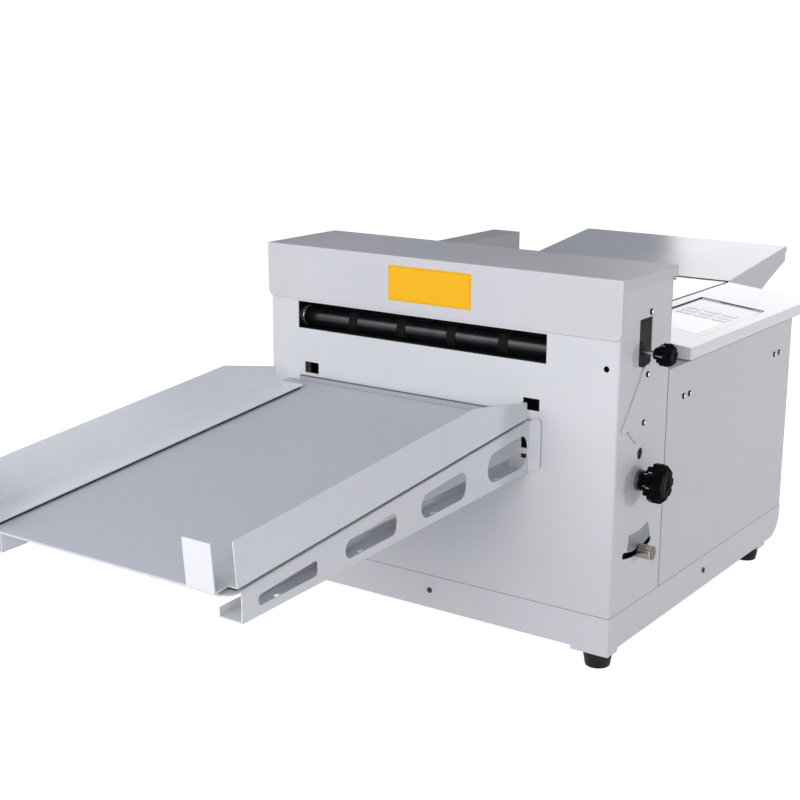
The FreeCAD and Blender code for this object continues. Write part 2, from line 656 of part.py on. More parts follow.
def screw(x, y, z, way, length=SCREW_L):
    """Pan head screw: head outside, shank pointing into the machine along way."""
    axis = V(*way)
    base = V(x, y, z)
    head = Part.makeCone(SCREW_HEAD_R, SCREW_HEAD_R * 0.7, SCREW_HEAD_H, base, axis * -1)
    return head.fuse(Part.makeCylinder(SCREW_R, length, base, axis)).removeSplitter()


def screw_hole(x, y, z, way, length=SCREW_L):
    axis = V(*way)
    return Part.makeCylinder(SCREW_R + GAP / 2, length + 2, V(x, y, z) - axis, axis)


def star_knob(x0, x_rim, x1, y, z, hub_r, rim_r, lobes, rod_r):
    """Moulded knob: a ribbed neck and a lobed rim with a domed face, bored for its rod."""
    neck = Part.makeCone(hub_r, hub_r * KNOB_NECK_FLARE, x_rim - x0, V(x0, y, z), V(1, 0, 0))
    rim = rod_x(x_rim, x1, y, z, rim_r)
    flute_r = rim_r * math.pi / lobes * KNOB_FLUTE
    for i in range(lobes):
        fy, fz = polar(360.0 / lobes * (i + 0.5), rim_r + flute_r * KNOB_FLUTE_OUT, y, z)
        rim = rim.cut(rod_x(x_rim - 1, x1 + 1, fy, fz, flute_r))
    depth = x1 - x_rim
    back_r, face_r = rim_r * KNOB_DOME_BACK, rim_r * KNOB_DOME_FACE
    face = Part.makeCone(back_r, face_r, depth + 0.01, V(x_rim, y, z), V(1, 0, 0))
    body = neck.fuse(rim.common(face))
    for i in range(lobes):
        ry, rz = polar(360.0 / lobes * i, hub_r, y, z)
        body = body.fuse(rod_x(x0 + KNOB_RIB_INSET, x_rim, ry, rz, hub_r * KNOB_RIB))
    bore = rod_x(x0 - 1, x1 - depth * KNOB_SOLID, y, z, rod_r)
    return body.cut(bore).removeSplitter()


# ================================================================ base
def corner_spots():
    return [(sx * FOOT_X, y) for sx in (-1, 1) for y in (FOOT_Y_FRONT, FOOT_Y_REAR)]


def pan_profile(inset):
    """Side outline of the base pan, a box with a round lower back corner."""
    y0, y1 = inset, BODY_D - inset
    z0, z1 = Z_PAN + inset, Z_BODY + (1 if inset else 0)
    r = PAN_CORNER - inset
    d = r * math.sqrt(0.5)
    edges = [Part.makeLine(V(0, y0, z0), V(0, y1 - r, z0)),
             Part.Arc(V(0, y1 - r, z0), V(0, y1 - r + d, z0 + r - d), V(0, y1, z0 + r)).toShape(),
             Part.makeLine(V(0, y1, z0 + r), V(0, y1, z1)),
             Part.makeLine(V(0, y1, z1), V(0, y0, z1)),
             Part.makeLine(V(0, y0, z1), V(0, y0, z0))]
    return Part.Face(Part.Wire(edges))


def base_pan():
    outer = pan_profile(0).extrude(V(BODY_W, 0, 0))
    outer.translate(V(-HALF_W, 0, 0))
    inner = pan_profile(PAN_T).extrude(V(BODY_W - 2 * PAN_T, 0, 0))
    inner.translate(V(-HALF_W + PAN_T, 0, 0))
    pan = outer.cut(inner)
    rim = block(-HALF_W + PAN_T, HALF_W - PAN_T, PAN_T, BODY_D - PAN_T, Z_BODY - SHEET, Z_BODY)
    rim = rim.cut(block(-HALF_W + SEAM_FLANGE, HALF_W - SEAM_FLANGE, SEAM_FLANGE_FRONT,
                        BODY_D - SEAM_FLANGE, Z_BODY - 2 * SHEET, Z_BODY + 1))
    pan = fuse([pan, rim] + foot_plates())
    for x, y in corner_spots():
        pan = pan.cut(rod_z(FOOT_H - 1, Z_PAN_FLOOR + 1, x, y, FOOT_BOLT_R + GAP / 2))
    for x, y, way in pan_screw_spots():
        pan = pan.cut(screw_hole(x, y, PAN_SCREW_Z, way))
    return pan


def foot_plates():
    """Plates welded under the corners of the pan, flush with its sides."""
    plates = []
    for x, y in corner_spots():
        x_out = math.copysign(HALF_W, x)
        x_in = math.copysign(HALF_W - FOOT_PLATE_W, x)
        y0 = max(y - FOOT_PLATE_D, 0) if y < FOOT_PLATE_D else y - FOOT_PLATE_D / 2
        plates.append(block(min(x_in, x_out), max(x_in, x_out), y0, y0 + FOOT_PLATE_D, FOOT_H, Z_PAN))
    return plates


def rubber_feet():
    feet = []
    for x, y in corner_spots():
        foot = Part.makeCone(FOOT_R_BOTTOM, FOOT_R_TOP, FOOT_H, V(x, y, 0), V(0, 0, 1))
        foot = foot.makeFillet(FOOT_ROUND, [e for e in foot.Edges if abs(e.BoundBox.ZMax) < 1e-3])
        foot = foot.cut(rod_z(-1, FOOT_RECESS_H, x, y, FOOT_BOLT_HEAD_R + HOLE_PLAY))
        feet.append(foot.cut(rod_z(-1, FOOT_H + 1, x, y, FOOT_BOLT_R + GAP / 2)))
    return Part.makeCompound(feet)


def foot_bolts():
    bolts = []
    for x, y in corner_spots():
        head = rod_z(FOOT_RECESS_H - FOOT_BOLT_HEAD_H, FOOT_RECESS_H, x, y, FOOT_BOLT_HEAD_R)
        shank = rod_z(FOOT_RECESS_H, Z_PAN_FLOOR - GAP, x, y, FOOT_BOLT_R)
        bolts.append(fuse([head, shank]))
    return bolts


# ================================================================ casing
def pan_screw_spots():
    """One screw in the middle of the front and of each side of the pan."""
    return [(0, 0, (0, 1, 0)), (HALF_W, BODY_D / 2, (-1, 0, 0)), (-HALF_W, BODY_D / 2, (1, 0, 0))]


def side_screw_spots():
    """Screw pairs that hold the rear shell to its frame, on both sides."""
    front = HEAD_D + SIDE_SCREW_INSET
    back = BODY_D - SIDE_SCREW_INSET
    spots = []
    for sx in (-1, 1):
        for y in (front, front + SIDE_SCREW_PITCH, back - SIDE_SCREW_PITCH, back):
            spots.append((sx * HALF_W, y, Z_REAR_TOP - SIDE_SCREW_DROP, (-sx, 0, 0)))
    return spots


def case_screw_spots():
    """Screws on the tool side of the head."""
    return [(HALF_W, LATCH_Y, LATCH_Z, (-1, 0, 0)),
            (HALF_W, CASE_SCREW_Y, CASE_SCREW_Z, (-1, 0, 0)),
            (-HALF_W, LATCH_Y, LATCH_Z, (1, 0, 0)),
            (-HALF_W, CASE_SCREW_Y, CASE_SCREW_Z, (1, 0, 0))]


def u_shell(y0, y1, z0, z1, closed_at_front):
    """Front or back wall and two sides, bent from one sheet."""
    outer = block(-HALF_W, HALF_W, y0, y1, z0, z1)
    wall_y = y0 if closed_at_front else y1
    outer = round_edges(outer, BEND, lambda e: runs_along(e, V(0, 0, 1))
                        and abs(middle(e).y - wall_y) < 1e-6)
    in0, in1 = (y0 + SHEET, y1 + 1) if closed_at_front else (y0 - 1, y1 - SHEET)
    inner_y = in0 if closed_at_front else in1
    inner = block(-HALF_W + SHEET, HALF_W - SHEET, in0, in1, z0 - 1, z1 + 1)
    inner = round_edges(inner, BEND - SHEET, lambda e: runs_along(e, V(0, 0, 1))
                        and abs(middle(e).y - inner_y) < 1e-6)
    return outer.cut(inner)


def tool_slot():
    """Upright opening for the creasing tool, with a pointed lower end."""
    x0, x1 = HALF_W - 2 * SHEET, HALF_W + SHEET
    mid = (SLOT_Y0 + SLOT_Y1) / 2
    outline = [(SLOT_Y0, SLOT_Z0), (mid, SLOT_Z0 - SLOT_POINT), (SLOT_Y1, SLOT_Z0),
               (SLOT_Y1, SLOT_Z1), (SLOT_Y0, SLOT_Z1)]
    return prism_yz(outline, x0, x1)


def arc_slot(width, x0, x1, play=0.0):
    """Curved slot swept by the stud of the depth lever."""
    half = width / 2
    margin = math.degrees(play / LEVER_RADIUS)
    return arc_band(TOOL_Y, LEVER_Z, LEVER_RADIUS - half, LEVER_RADIUS + half,
                    LEVER_FRONT - margin, LEVER_BACK + margin, x0, x1, rounded=True)


def head_shell():
    shell = u_shell(0, HEAD_D, Z_BODY, Z_HEAD_TOP, True)
    for sx in (-1, 1):
        x_a, x_b = sx * (HALF_W - SHEET), sx * (HALF_W - SEAM_FLANGE)
        shell = shell.fuse(block(min(x_a, x_b), max(x_a, x_b), HEAD_D - SHEET, HEAD_D,
                                 Z_BODY, Z_REAR_TOP))
    lip_y = SHEET + WINDOW_LIP
    shell = shell.fuse(block(WINDOW_X0, WINDOW_X1, SHEET, lip_y, WINDOW_Z0 - SHEET, WINDOW_Z0))
    shell = shell.cut(block(WINDOW_X0, WINDOW_X1, -1, SHEET + 1, WINDOW_Z0, WINDOW_Z1))
    for x in RAIL_X:
        shell = shell.cut(block(x - HOOK_HOLE_W / 2, x + HOOK_HOLE_W / 2, -1, SHEET + 1,
                                HOOK_HOLE_Z0, HOOK_HOLE_Z1))
        shell = shell.cut(block(x - SHEET - HOLE_PLAY, x + HOLE_PLAY, -1, SHEET + 1,
                                HOOK_TAB_Z0 - HOLE_PLAY, HOOK_TAB_Z1 + HOLE_PLAY))
        for up, size in SPARE_HOLES:
            z0 = RAIL_Z_WALL + up
            shell = shell.cut(block(x + SPARE_HOLE_X[0], x + SPARE_HOLE_X[1], -1, SHEET + 1, z0, z0 + size))
    shell = shell.cut(rod_y(-1, SHEET + 1, PEEP_X, PEEP_Z, PEEP_R))
    x0, x1 = HALF_W - 2 * SHEET, HALF_W + SHEET
    shell = shell.cut(tool_slot())
    shell = shell.cut(arc_slot(ARC_SLOT_W, x0, x1, HOLE_PLAY))
    shell = shell.cut(rod_x(x0, x1, TOOL_Y, LEVER_Z, LEVER_BUSH_R))
    shell = shell.cut(rod_x(x0, x1, TOOL_Y, MAIN_Z, MAIN_R + BUSH_WALL))
    shell = shell.cut(screw_hole(HALF_W, DOOR_PIVOT_Y, DOOR_PIVOT_Z, (-1, 0, 0)))
    for x, y, z, way in case_screw_spots():
        shell = shell.cut(screw_hole(x, y, z, way))
    return shell.removeSplitter()


def rear_shell():
    shell = u_shell(HEAD_D + SEAM_GAP, BODY_D, Z_BODY, Z_REAR_TOP, False)
    y0, y1 = BODY_D - SHEET - 1, BODY_D + 1
    shell = shell.cut(block(INLET_X - INLET_W / 2 - HOLE_PLAY, INLET_X + INLET_W / 2 + HOLE_PLAY,
                            y0, y1, INLET_Z - INLET_H / 2 - HOLE_PLAY,
                            INLET_Z + INLET_H / 2 + HOLE_PLAY))
    shell = shell.cut(block(SWITCH_X - SWITCH_W / 2 - HOLE_PLAY, SWITCH_X + SWITCH_W / 2 + HOLE_PLAY,
                            y0, y1, SWITCH_Z - SWITCH_H / 2 - HOLE_PLAY,
                            SWITCH_Z + SWITCH_H / 2 + HOLE_PLAY))
    for bank_x in [HALF_W - inset for inset in VENT_BANKS]:
        for i in range(VENT_COUNT):
            z = Z_BODY + VENT_UP + i * VENT_PITCH
            shell = shell.cut(block(bank_x - VENT_L / 2, bank_x + VENT_L / 2, y0, y1,
                                    z - VENT_W / 2, z + VENT_W / 2))
    for x, y, z, way in side_screw_spots():
        shell = shell.cut(screw_hole(x, y, z, way))
    return shell


def table_legs():
    """Four angle legs welded on the deck, with a foot and a top flange each."""
    legs = []
    for x in LEG_X:
        for y in LEG_Y:
            outer = block(x, x + LEG_W, y, y + LEG_W, Z_REAR_TOP - SHEET, Z_TABLE - SHEET)
            inner = block(x + SHEET, x + LEG_W + 1, y - 1, y + LEG_W + 1, Z_REAR_TOP, Z_TABLE - 2 * SHEET)
            legs.append(outer.cut(inner))
    return legs


def rear_deck():
    """Top sheet of the rear body, under the feed table, with turned-down sides."""
    t = SHEET
    x = HALF_W - t - GAP
    y0, y1 = HEAD_D + GAP, BODY_D - t - GAP
    outer = block(-x, x, y0, y1, Z_REAR_TOP - DECK_SKIRT, Z_REAR_TOP)
    inner = block(-x + t, x - t, y0 + t, y1 - t, Z_REAR_TOP - DECK_SKIRT - 1, Z_REAR_TOP - t)
    outer = round_edges(outer, BEND - SHEET, lambda e: runs_along(e, V(0, 0, 1)))
    deck = fuse([outer.cut(inner)] + table_legs())
    for sx, y, z, way in side_screw_spots():
        deck = deck.cut(screw_hole(sx, y, z, way))
    return deck.removeSplitter()


def head_back():
    """Back sheet of the head with the mouth for the paper."""
    x = HALF_W - SHEET - GAP
    y1 = HEAD_D - SHEET - GAP
    y0 = y1 - SHEET
    z0, z1 = Z_REAR_TOP - BACK_LAP, Z_HEAD_TOP - HOLE_PLAY
    sheet = block(-x, x, y0, y1, z0, z1)
    sheet = sheet.cut(block(MOUTH_X - MOUTH_HALF, MOUTH_X + MOUTH_HALF, y0 - 1, y1 + 1,
                            MOUTH_Z0, MOUTH_Z1))
    for sx in (-1, 1):
        x_a, x_b = sx * x, sx * (x - SHEET)
        sheet = sheet.fuse(block(min(x_a, x_b), max(x_a, x_b), y0 - BACK_FLANGE, y0, z0, z1))
    sheet = fuse([sheet] + feed_ears())
    for x, side in feed_ear_faces():
        sheet = sheet.cut(rod_x(x - 2 * FEED_EAR_T, x + 2 * FEED_EAR_T, FEED_Y, feed_axis_z(),
                                FEED_SHAFT_R + RUN))
    return sheet.removeSplitter()


def machine_screws():
    """Every screw of the casing, the bolts of the feet and the pivot screw of the door."""
    screws = [screw(x, y, PAN_SCREW_Z, way) for x, y, way in pan_screw_spots()]
    screws += [screw(x, y, z, way, SHELL_SCREW_L) for x, y, z, way in side_screw_spots()]
    screws += [screw(x, y, z, way, HEAD_SCREW_L) for x, y, z, way in case_screw_spots()]
    screws += [screw(x, y, z, way, SHEET) for x, y, z, way in bracket_screw_spots()]
    screws.append(screw(HALF_W + GAP + DOOR_T + RUN, DOOR_PIVOT_Y, DOOR_PIVOT_Z, (-1, 0, 0),
                        DOOR_SCREW_L))
    return Part.makeCompound(screws + foot_bolts())


# ================================================================ head cover and its hinges
def head_cover():
    out_x = HALF_W + COVER_PLAY + SHEET
    y0 = -COVER_PLAY - SHEET
    y1 = HEAD_D + COVER_OVERHANG
    z0 = Z_HEAD_TOP + GAP
    z1 = z0 + SHEET
    top = block(-out_x, out_x, y0, y1, z0, z1)
    lip = block(-out_x, out_x, y0, y0 + SHEET, z1 - COVER_LIP, z1)
    lip = round_edges(lip, COVER_LIP_R, lambda e: runs_along(e, V(0, 1, 0))
                      and abs(middle(e).z - (z1 - COVER_LIP)) < 1e-6)
    pieces = [top, lip]
    for sx in (-1, 1):
        x_a, x_b = sx * out_x, sx * (out_x - SHEET)
        pieces.append(block(min(x_a, x_b), max(x_a, x_b), y0, y1, z1 - COVER_SIDE, z1))
    for x in HINGE_X:
        half = HINGE_KNUCKLE / 2 - GAP
        pieces.append(rod_x(x - half, x + half, HINGE_Y, HINGE_Z, HINGE_R))
        pieces.append(block(x - half, x + half, HINGE_Y - HINGE_WEB / 2, HINGE_Y + HINGE_WEB / 2,
                            HINGE_Z, z1))
    cover = fuse(pieces)
    for x in HINGE_X:
        cover = cover.cut(rod_x(x - HINGE_KNUCKLE, x + HINGE_KNUCKLE, HINGE_Y, HINGE_Z, HINGE_PIN_R + RUN))
    cover = round_edges(cover, BEND - SHEET, lambda e: runs_along(e, V(1, 0, 0))
                        and abs(middle(e).z - z1) < 1e-6 and abs(middle(e).y - y0) < 1e-6)
    return cover


def cover_hinges():
    """Fixed hinge leaves on the back sheet, two knuckles and a pin each."""
    leaves = []
    y0 = HEAD_D - SHEET - GAP
    for x in HINGE_X:
        leaf = [block(x - HINGE_LEAF_W / 2, x + HINGE_LEAF_W / 2, y0, y0 + SHEET,
                      HINGE_Z - HINGE_LEAF_DOWN, HINGE_Z + HINGE_LEAF_UP),
                rod_x(x - HINGE_PIN_L / 2, x + HINGE_PIN_L / 2, HINGE_Y, HINGE_Z, HINGE_PIN_R)]
        for side in (-1, 1):
            inner = x + side * HINGE_KNUCKLE / 2
            outer = inner + side * HINGE_KNUCKLE_FIXED
            a, b = min(inner, outer), max(inner, outer)
            leaf.append(rod_x(a, b, HINGE_Y, HINGE_Z, HINGE_R))
            leaf.append(block(a, b, y0, HINGE_Y, HINGE_Z - HINGE_R, HINGE_Z - HINGE_R + SHEET))
        leaves.append(fuse(leaf))
    return Part.makeCompound(leaves)


def label_plate():
    """Blank plate on the front lip of the cover."""
    y = -COVER_PLAY - SHEET
    x0, x1 = LABEL_X - LABEL_W / 2, LABEL_X + LABEL_W / 2
    plate = block(x0, x1, y - LABEL_T, y, LABEL_Z1 - LABEL_H, LABEL_Z1)
    return round_edges(plate, LABEL_ROUND, lambda e: runs_along(e, V(0, 1, 0)))


# ================================================================ frames and shafts
def frame_plate():
    """One side frame, standing on the floor of the pan."""
    plate = block(0, FRAME_T, FRAME_Y0, FRAME_Y1, Z_PAN_FLOOR, FRAME_TOP)
    plate = round_edges(plate, FRAME_ROUND, lambda e: runs_along(e, V(1, 0, 0))
                        and middle(e).z > FRAME_TOP - 1)
    return plate


def bearing_spots():
    """Bores for the bearings of the rollers and of the main shaft."""
    return [(EXIT_Y, Z_ROLLER, ROLLER_SHAFT_R), (INFEED_Y, Z_ROLLER, ROLLER_SHAFT_R),
            (TOOL_Y, MAIN_Z, MAIN_R)]


def side_frame(right):
    frame = frame_plate()
    frame.translate(V(FRAME_R0 if right else FRAME_L0, 0, 0))
    x0, x1 = (FRAME_R0, FRAME_R1) if right else (FRAME_L0, FRAME_L1)
    foot_x = (x0 - FRAME_FOOT, x0) if right else (x1, x1 + FRAME_FOOT)
    frame = frame.fuse(block(foot_x[0], foot_x[1], FRAME_Y0, FRAME_Y1,
                             Z_PAN_FLOOR, Z_PAN_FLOOR + FRAME_T))
    a, b = x0 - 1, x1 + 1
    for y, z, r in bearing_spots():
        frame = frame.cut(rod_x(a, b, y, z, BEARING_R))
    for y, z in TIE_SPOTS:
        frame = frame.cut(rod_x(a, b, y, z, TIE_END_R))
    for y in (EXIT_Y, INFEED_Y):
        frame = frame.cut(slot_x(a, b, y, Z_PINCH - PINCH_SHAFT_R - RUN,
                                 Z_PINCH + PINCH_SHAFT_R + PINCH_LIFT, PINCH_SHAFT_R + RUN))
    if right:
        reach = DIE_HALF_W + HOLE_PLAY
        frame = frame.cut(block(a, b, TOOL_Y - reach, TOOL_Y + reach,
                                DIE_TOP - DIE_H - DIE_PLAY, DIE_TOP + HOLE_PLAY))
        frame = frame.cut(rod_x(a, b, TOOL_Y, LEVER_Z, LEVER_SHAFT_R + RUN))
        frame = frame.cut(rod_x(a, b, TOOL_Y, CREASE_MOTOR_Z, MOTOR_SHAFT_R + HOLE_PLAY))
    else:
        frame = frame.cut(rod_x(a, b, STEP_MOTOR_Y, STEP_MOTOR_Z, STEP_SHAFT_R + HOLE_PLAY))
    return frame.removeSplitter()


def tie_rods():
    rods = []
    for y, z in TIE_SPOTS:
        middle_part = rod_x(FRAME_L1, FRAME_R0, y, z, TIE_R)
        ends = rod_x(FRAME_L0 - TIE_END_L, FRAME_R1 + TIE_END_L, y, z, TIE_END_R)
        rods.append(fuse([middle_part, ends]))
    return Part.makeCompound(rods)


def shaft_bearings():
    rings = []
    for y, z, r in bearing_spots():
        for x0, x1, side in ((FRAME_L0, FRAME_L1, 1), (FRAME_R0, FRAME_R1, -1)):
            ring = ring_x(x0, x1, y, z, BEARING_R, r + RUN)
            flange_x = (x1, x1 + BEARING_FLANGE) if side > 0 else (x0 - BEARING_FLANGE, x0)
            flange = ring_x(flange_x[0], flange_x[1], y, z, BEARING_R + BEARING_RIM, r + RUN)
            rings.append(fuse([ring, flange]))
    r = MAIN_R + RUN
    bush = ring_x(HALF_W - SHEET - BUSH_INSIDE, HALF_W, TOOL_Y, MAIN_Z, MAIN_R + BUSH_WALL, r)
    collar = ring_x(HALF_W, BUSH_FLANGE_X, TOOL_Y, MAIN_Z, BUSH_FLANGE_R, r)
    rings.append(fuse([bush, collar]))
    return Part.makeCompound(rings)


def tyre_centres():
    half = (TYRE_COUNT - 1) / 2
    return [PATH_X + (i - half) * TYRE_PITCH for i in range(TYRE_COUNT)]


def transport_roller(y):
    """Dark tube on a shaft, with turned steel collars at both ends."""
    x0, x1 = PATH_X - ROLLER_HALF, PATH_X + ROLLER_HALF
    tube = rod_x(x0, x1, y, Z_ROLLER, ROLLER_R)
    for x in tyre_centres():
        groove = ring_x(x - TYRE_W / 2, x + TYRE_W / 2, y, Z_ROLLER, ROLLER_R + 1, ROLLER_R - TYRE_SEAT)
        tube = tube.cut(groove)
    pieces = [tube, rod_x(SMALL_PULLEY_X0 - 1, FRAME_R1 + SHAFT_END, y, Z_ROLLER, ROLLER_SHAFT_R)]
    for end, way in ((x0, -1), (x1, 1)):
        a, b = min(end, end + way * COLLAR_W), max(end, end + way * COLLAR_W)
        pieces.append(rod_x(a, b, y, Z_ROLLER, COLLAR_R))
        rib = (a + b) / 2
        pieces.append(rod_x(rib - COLLAR_RIB_W / 2, rib + COLLAR_RIB_W / 2, y, Z_ROLLER,
                            COLLAR_R + COLLAR_RIB))
    pieces.append(pulley(SMALL_PULLEY_X0, SMALL_PULLEY_X1, y, Z_ROLLER, SMALL_PULLEY_R, ROLLER_SHAFT_R))
    return fuse(pieces)


def roller_tyres(y):
    return Part.makeCompound([ring_x(x - TYRE_W / 2, x + TYRE_W / 2, y, Z_ROLLER,
                                     ROLLER_R + TYRE_T, ROLLER_R - TYRE_SEAT) for x in tyre_centres()])


def pinch_roller(y):
    """Upper shaft with its rollers."""
    rollers = [rod_x(FRAME_L0 - SHAFT_END, FRAME_R1 + SHAFT_END, y, Z_PINCH, PINCH_SHAFT_R)]
    for x in tyre_centres():
        roller = rod_x(x - PINCH_W / 2, x + PINCH_W / 2, y, Z_PINCH, PINCH_R)
        rims = [e for e in roller.Edges if isinstance(e.Curve, Part.Circle)]
        rollers.append(roller.makeChamfer(PINCH_CHAMFER, rims))
    return fuse(rollers)


def pulley(x0, x1, y, z, r, bore):
    """Belt wheel with a flange on each side."""
    wheel = rod_x(x0, x1, y, z, r)
    for a in (x0, x1 - PULLEY_FLANGE):
        wheel = wheel.fuse(rod_x(a, a + PULLEY_FLANGE, y, z, r + BELT_T + PULLEY_RIM))
    return wheel.cut(rod_x(x0 - 1, x1 + 1, y, z, bore)).removeSplitter()


def hull_of_circles(circles, grow):
    """Closed outline round circles (y, z, r) listed counter-clockwise, each grown."""
    points = []
    count = len(circles)
    for i in range(count):
        y, z, r = circles[i]
        py, pz, pr = circles[i - 1]
        ny, nz, nr = circles[(i + 1) % count]
        a_in = tangent_angle(py, pz, pr, y, z, r)
        a_out = tangent_angle(y, z, r, ny, nz, nr)
        while a_out < a_in:
            a_out += 360.0
        points.append([polar(a, r + grow, y, z) for a in (a_in, (a_in + a_out) / 2, a_out)])
    return points


def tangent_angle(y0, z0, r0, y1, z1, r1):
    """Normal direction of the outer tangent when going from one circle to the next."""
    along = math.degrees(math.atan2(z1 - z0, y1 - y0))
    lean = math.degrees(math.asin((r0 - r1) / math.hypot(y1 - y0, z1 - z0)))
    return along - 90.0 + lean


def belt_face(circles, grow, x):
    arcs = hull_of_circles(circles, grow)
    edges = []
    for i, (a, b, c) in enumerate(arcs):
        edges.append(Part.Arc(V(x, *a), V(x, *b), V(x, *c)).toShape())
        following = arcs[(i + 1) % len(arcs)][0]
        edges.append(Part.makeLine(V(x, *c), V(x, *following)))
    return Part.Face(Part.Wire(edges))


def belt(circles, x0, x1):
    """Flat belt round pulleys, clear of them by the gap."""
    outer = belt_face(circles, GAP + BELT_T, x0).extrude(V(x1 - x0, 0, 0))
    inner = belt_face(circles, GAP, x0).extrude(V(x1 - x0, 0, 0))
    return outer.cut(inner)


def transport_belt():
    circles = [(STEP_MOTOR_Y, STEP_MOTOR_Z, STEP_PULLEY_R), (INFEED_Y, Z_ROLLER, SMALL_PULLEY_R),
               (EXIT_Y, Z_ROLLER, SMALL_PULLEY_R)]
    inset = PULLEY_FLANGE + GAP
    return belt(circles, SMALL_PULLEY_X0 + inset, SMALL_PULLEY_X1 - inset)


def transport_motor():
    half = STEP_MOTOR_W / 2
    body = block(FRAME_L1, FRAME_L1 + STEP_MOTOR_L, STEP_MOTOR_Y - half, STEP_MOTOR_Y + half,
                 STEP_MOTOR_Z - half, STEP_MOTOR_Z + half)
    return round_edges(body, STEP_MOTOR_ROUND, lambda e: runs_along(e, V(1, 0, 0)))


def transport_motor_pulley():
    wheel = pulley(SMALL_PULLEY_X0, SMALL_PULLEY_X1, STEP_MOTOR_Y, STEP_MOTOR_Z,
                   STEP_PULLEY_R, STEP_SHAFT_R)
    shaft = rod_x(SMALL_PULLEY_X0 - 1, FRAME_L1 - RUN, STEP_MOTOR_Y, STEP_MOTOR_Z, STEP_SHAFT_R)
    return fuse([wheel, shaft])


# ================================================================ creasing tool and ram
def creasing_die():
    """Lower tool bar with the crease groove along its top."""
    bar = block(DIE_X0, DIE_X1, TOOL_Y - DIE_HALF_W, TOOL_Y + DIE_HALF_W,
                DIE_TOP - DIE_H, DIE_TOP)
    groove = block(DIE_X0 - 1, DIE_X1 + 1, TOOL_Y - GROOVE_W / 2, TOOL_Y + GROOVE_W / 2,
                   DIE_TOP - GROOVE_D, DIE_TOP + 1)
    bar = bar.cut(groove)
    bar = round_edges(bar, DIE_ROUND, lambda e: runs_along(e, V(1, 0, 0))
                      and abs(abs(middle(e).y - TOOL_Y) - DIE_HALF_W) < 1e-6)
    return bar.cut(rod_x(DIE_X1 - ROD_GRIP, DIE_X1 + 1, TOOL_Y, ROD_Z, ROD_R))


def tool_rod():
    return rod_x(DIE_X1 - ROD_GRIP, TOOL_KNOB_X0 + ROD_IN_KNOB, TOOL_Y, ROD_Z, ROD_R)


def tool_knob():
    return star_knob(TOOL_KNOB_X0, TOOL_KNOB_RIM_X0, TOOL_KNOB_X1, TOOL_Y, ROD_Z,
                     TOOL_KNOB_HUB_R, TOOL_KNOB_R, TOOL_KNOB_LOBES, ROD_R + RUN)


def die_bed():
    """Fixed channel that carries the die from frame to frame."""
    bed = block(FRAME_L1, FRAME_R0, TOOL_Y - BED_HALF_W, TOOL_Y + BED_HALF_W, BED_Z0, BED_TOP)
    pocket = block(FRAME_L1 - 1, FRAME_R0 + 1, TOOL_Y - DIE_HALF_W - DIE_PLAY,
                   TOOL_Y + DIE_HALF_W + DIE_PLAY, DIE_TOP - DIE_H - DIE_PLAY, BED_TOP + 1)
    return bed.cut(pocket)


def creasing_blade():
    return block(PATH_X - BLADE_HALF, PATH_X + BLADE_HALF, TOOL_Y - BLADE_T / 2, TOOL_Y + BLADE_T / 2,
                 BLADE_TIP, BLADE_TIP + BLADE_DEPTH)


def yoke_faces():
    """Inner and outer X of the left and right yoke."""
    left = PATH_X - YOKE_HALF
    right = PATH_X + YOKE_HALF
    return [(left - YOKE_T, left), (right, right + YOKE_T)]


def blade_beam():
    x0, x1 = yoke_faces()[0][1], yoke_faces()[1][0]
    beam = block(x0, x1, TOOL_Y - BEAM_HALF_W, TOOL_Y + BEAM_HALF_W, BEAM_Z0, BEAM_Z1)
    beam = beam.cut(block(x0 + BEAM_RIM, x1 - BEAM_RIM, TOOL_Y + BEAM_HALF_W - BEAM_WEB,
                          TOOL_Y + BEAM_HALF_W + 1, BEAM_Z0 + BEAM_RIM, BEAM_Z1 - BEAM_RIM_TOP))
    return beam.cut(creasing_blade())


def ram_yokes():
    """Two tall plates that join the beam to the eccentrics, open round the die bed."""
    yokes = []
    for x0, x1 in yoke_faces():
        plate = block(x0, x1, TOOL_Y - YOKE_HALF_W, TOOL_Y + YOKE_HALF_W, YOKE_Z0, YOKE_Z1)
        plate = round_edges(plate, YOKE_ROUND, lambda e: runs_along(e, V(1, 0, 0)))
        a, b = x0 - 1, x1 + 1
        sweep = ECC_R + ECC_THROW + YOKE_PLAY
        plate = plate.cut(slot_x(a, b, TOOL_Y, MAIN_Z - sweep, MAIN_Z + sweep + RAM_STROKE, sweep))
        reach = BED_HALF_W + YOKE_CLEAR
        plate = plate.cut(block(a, b, TOOL_Y - reach, TOOL_Y + reach,
                                BED_Z0 - 2 * YOKE_CLEAR, DIE_TOP + RAM_STROKE + 2 * YOKE_CLEAR))
        yokes.append(plate)
    return Part.makeCompound(yokes)


def ram_guides():
    """Plastic blocks on the frames, grooved for the edges of the yokes."""
    blocks = []
    (l0, l1), (r0, r1) = yoke_faces()
    for y_edge, way in ((TOOL_Y - YOKE_HALF_W, -1), (TOOL_Y + YOKE_HALF_W, 1)):
        near = y_edge - way * GUIDE_GRIP
        far = near + way * GUIDE_T
        y0, y1 = min(near, far), max(near, far)
        groove_far = y_edge + way * GUIDE_PLAY
        g0, g1 = min(near - way, groove_far), max(near - way, groove_far)
        for x0, x1, a, b in ((FRAME_L1, l1 + GUIDE_LIP, l0, l1), (r0 - GUIDE_LIP, FRAME_R0, r0, r1)):
            body = block(x0, x1, y0, y1, GUIDE_Z0, GUIDE_Z1)
            groove = block(a - GUIDE_PLAY, b + GUIDE_PLAY, g0, g1, GUIDE_Z0 - 1, GUIDE_Z1 + 1)
            blocks.append(body.cut(groove))
    return Part.makeCompound(blocks)


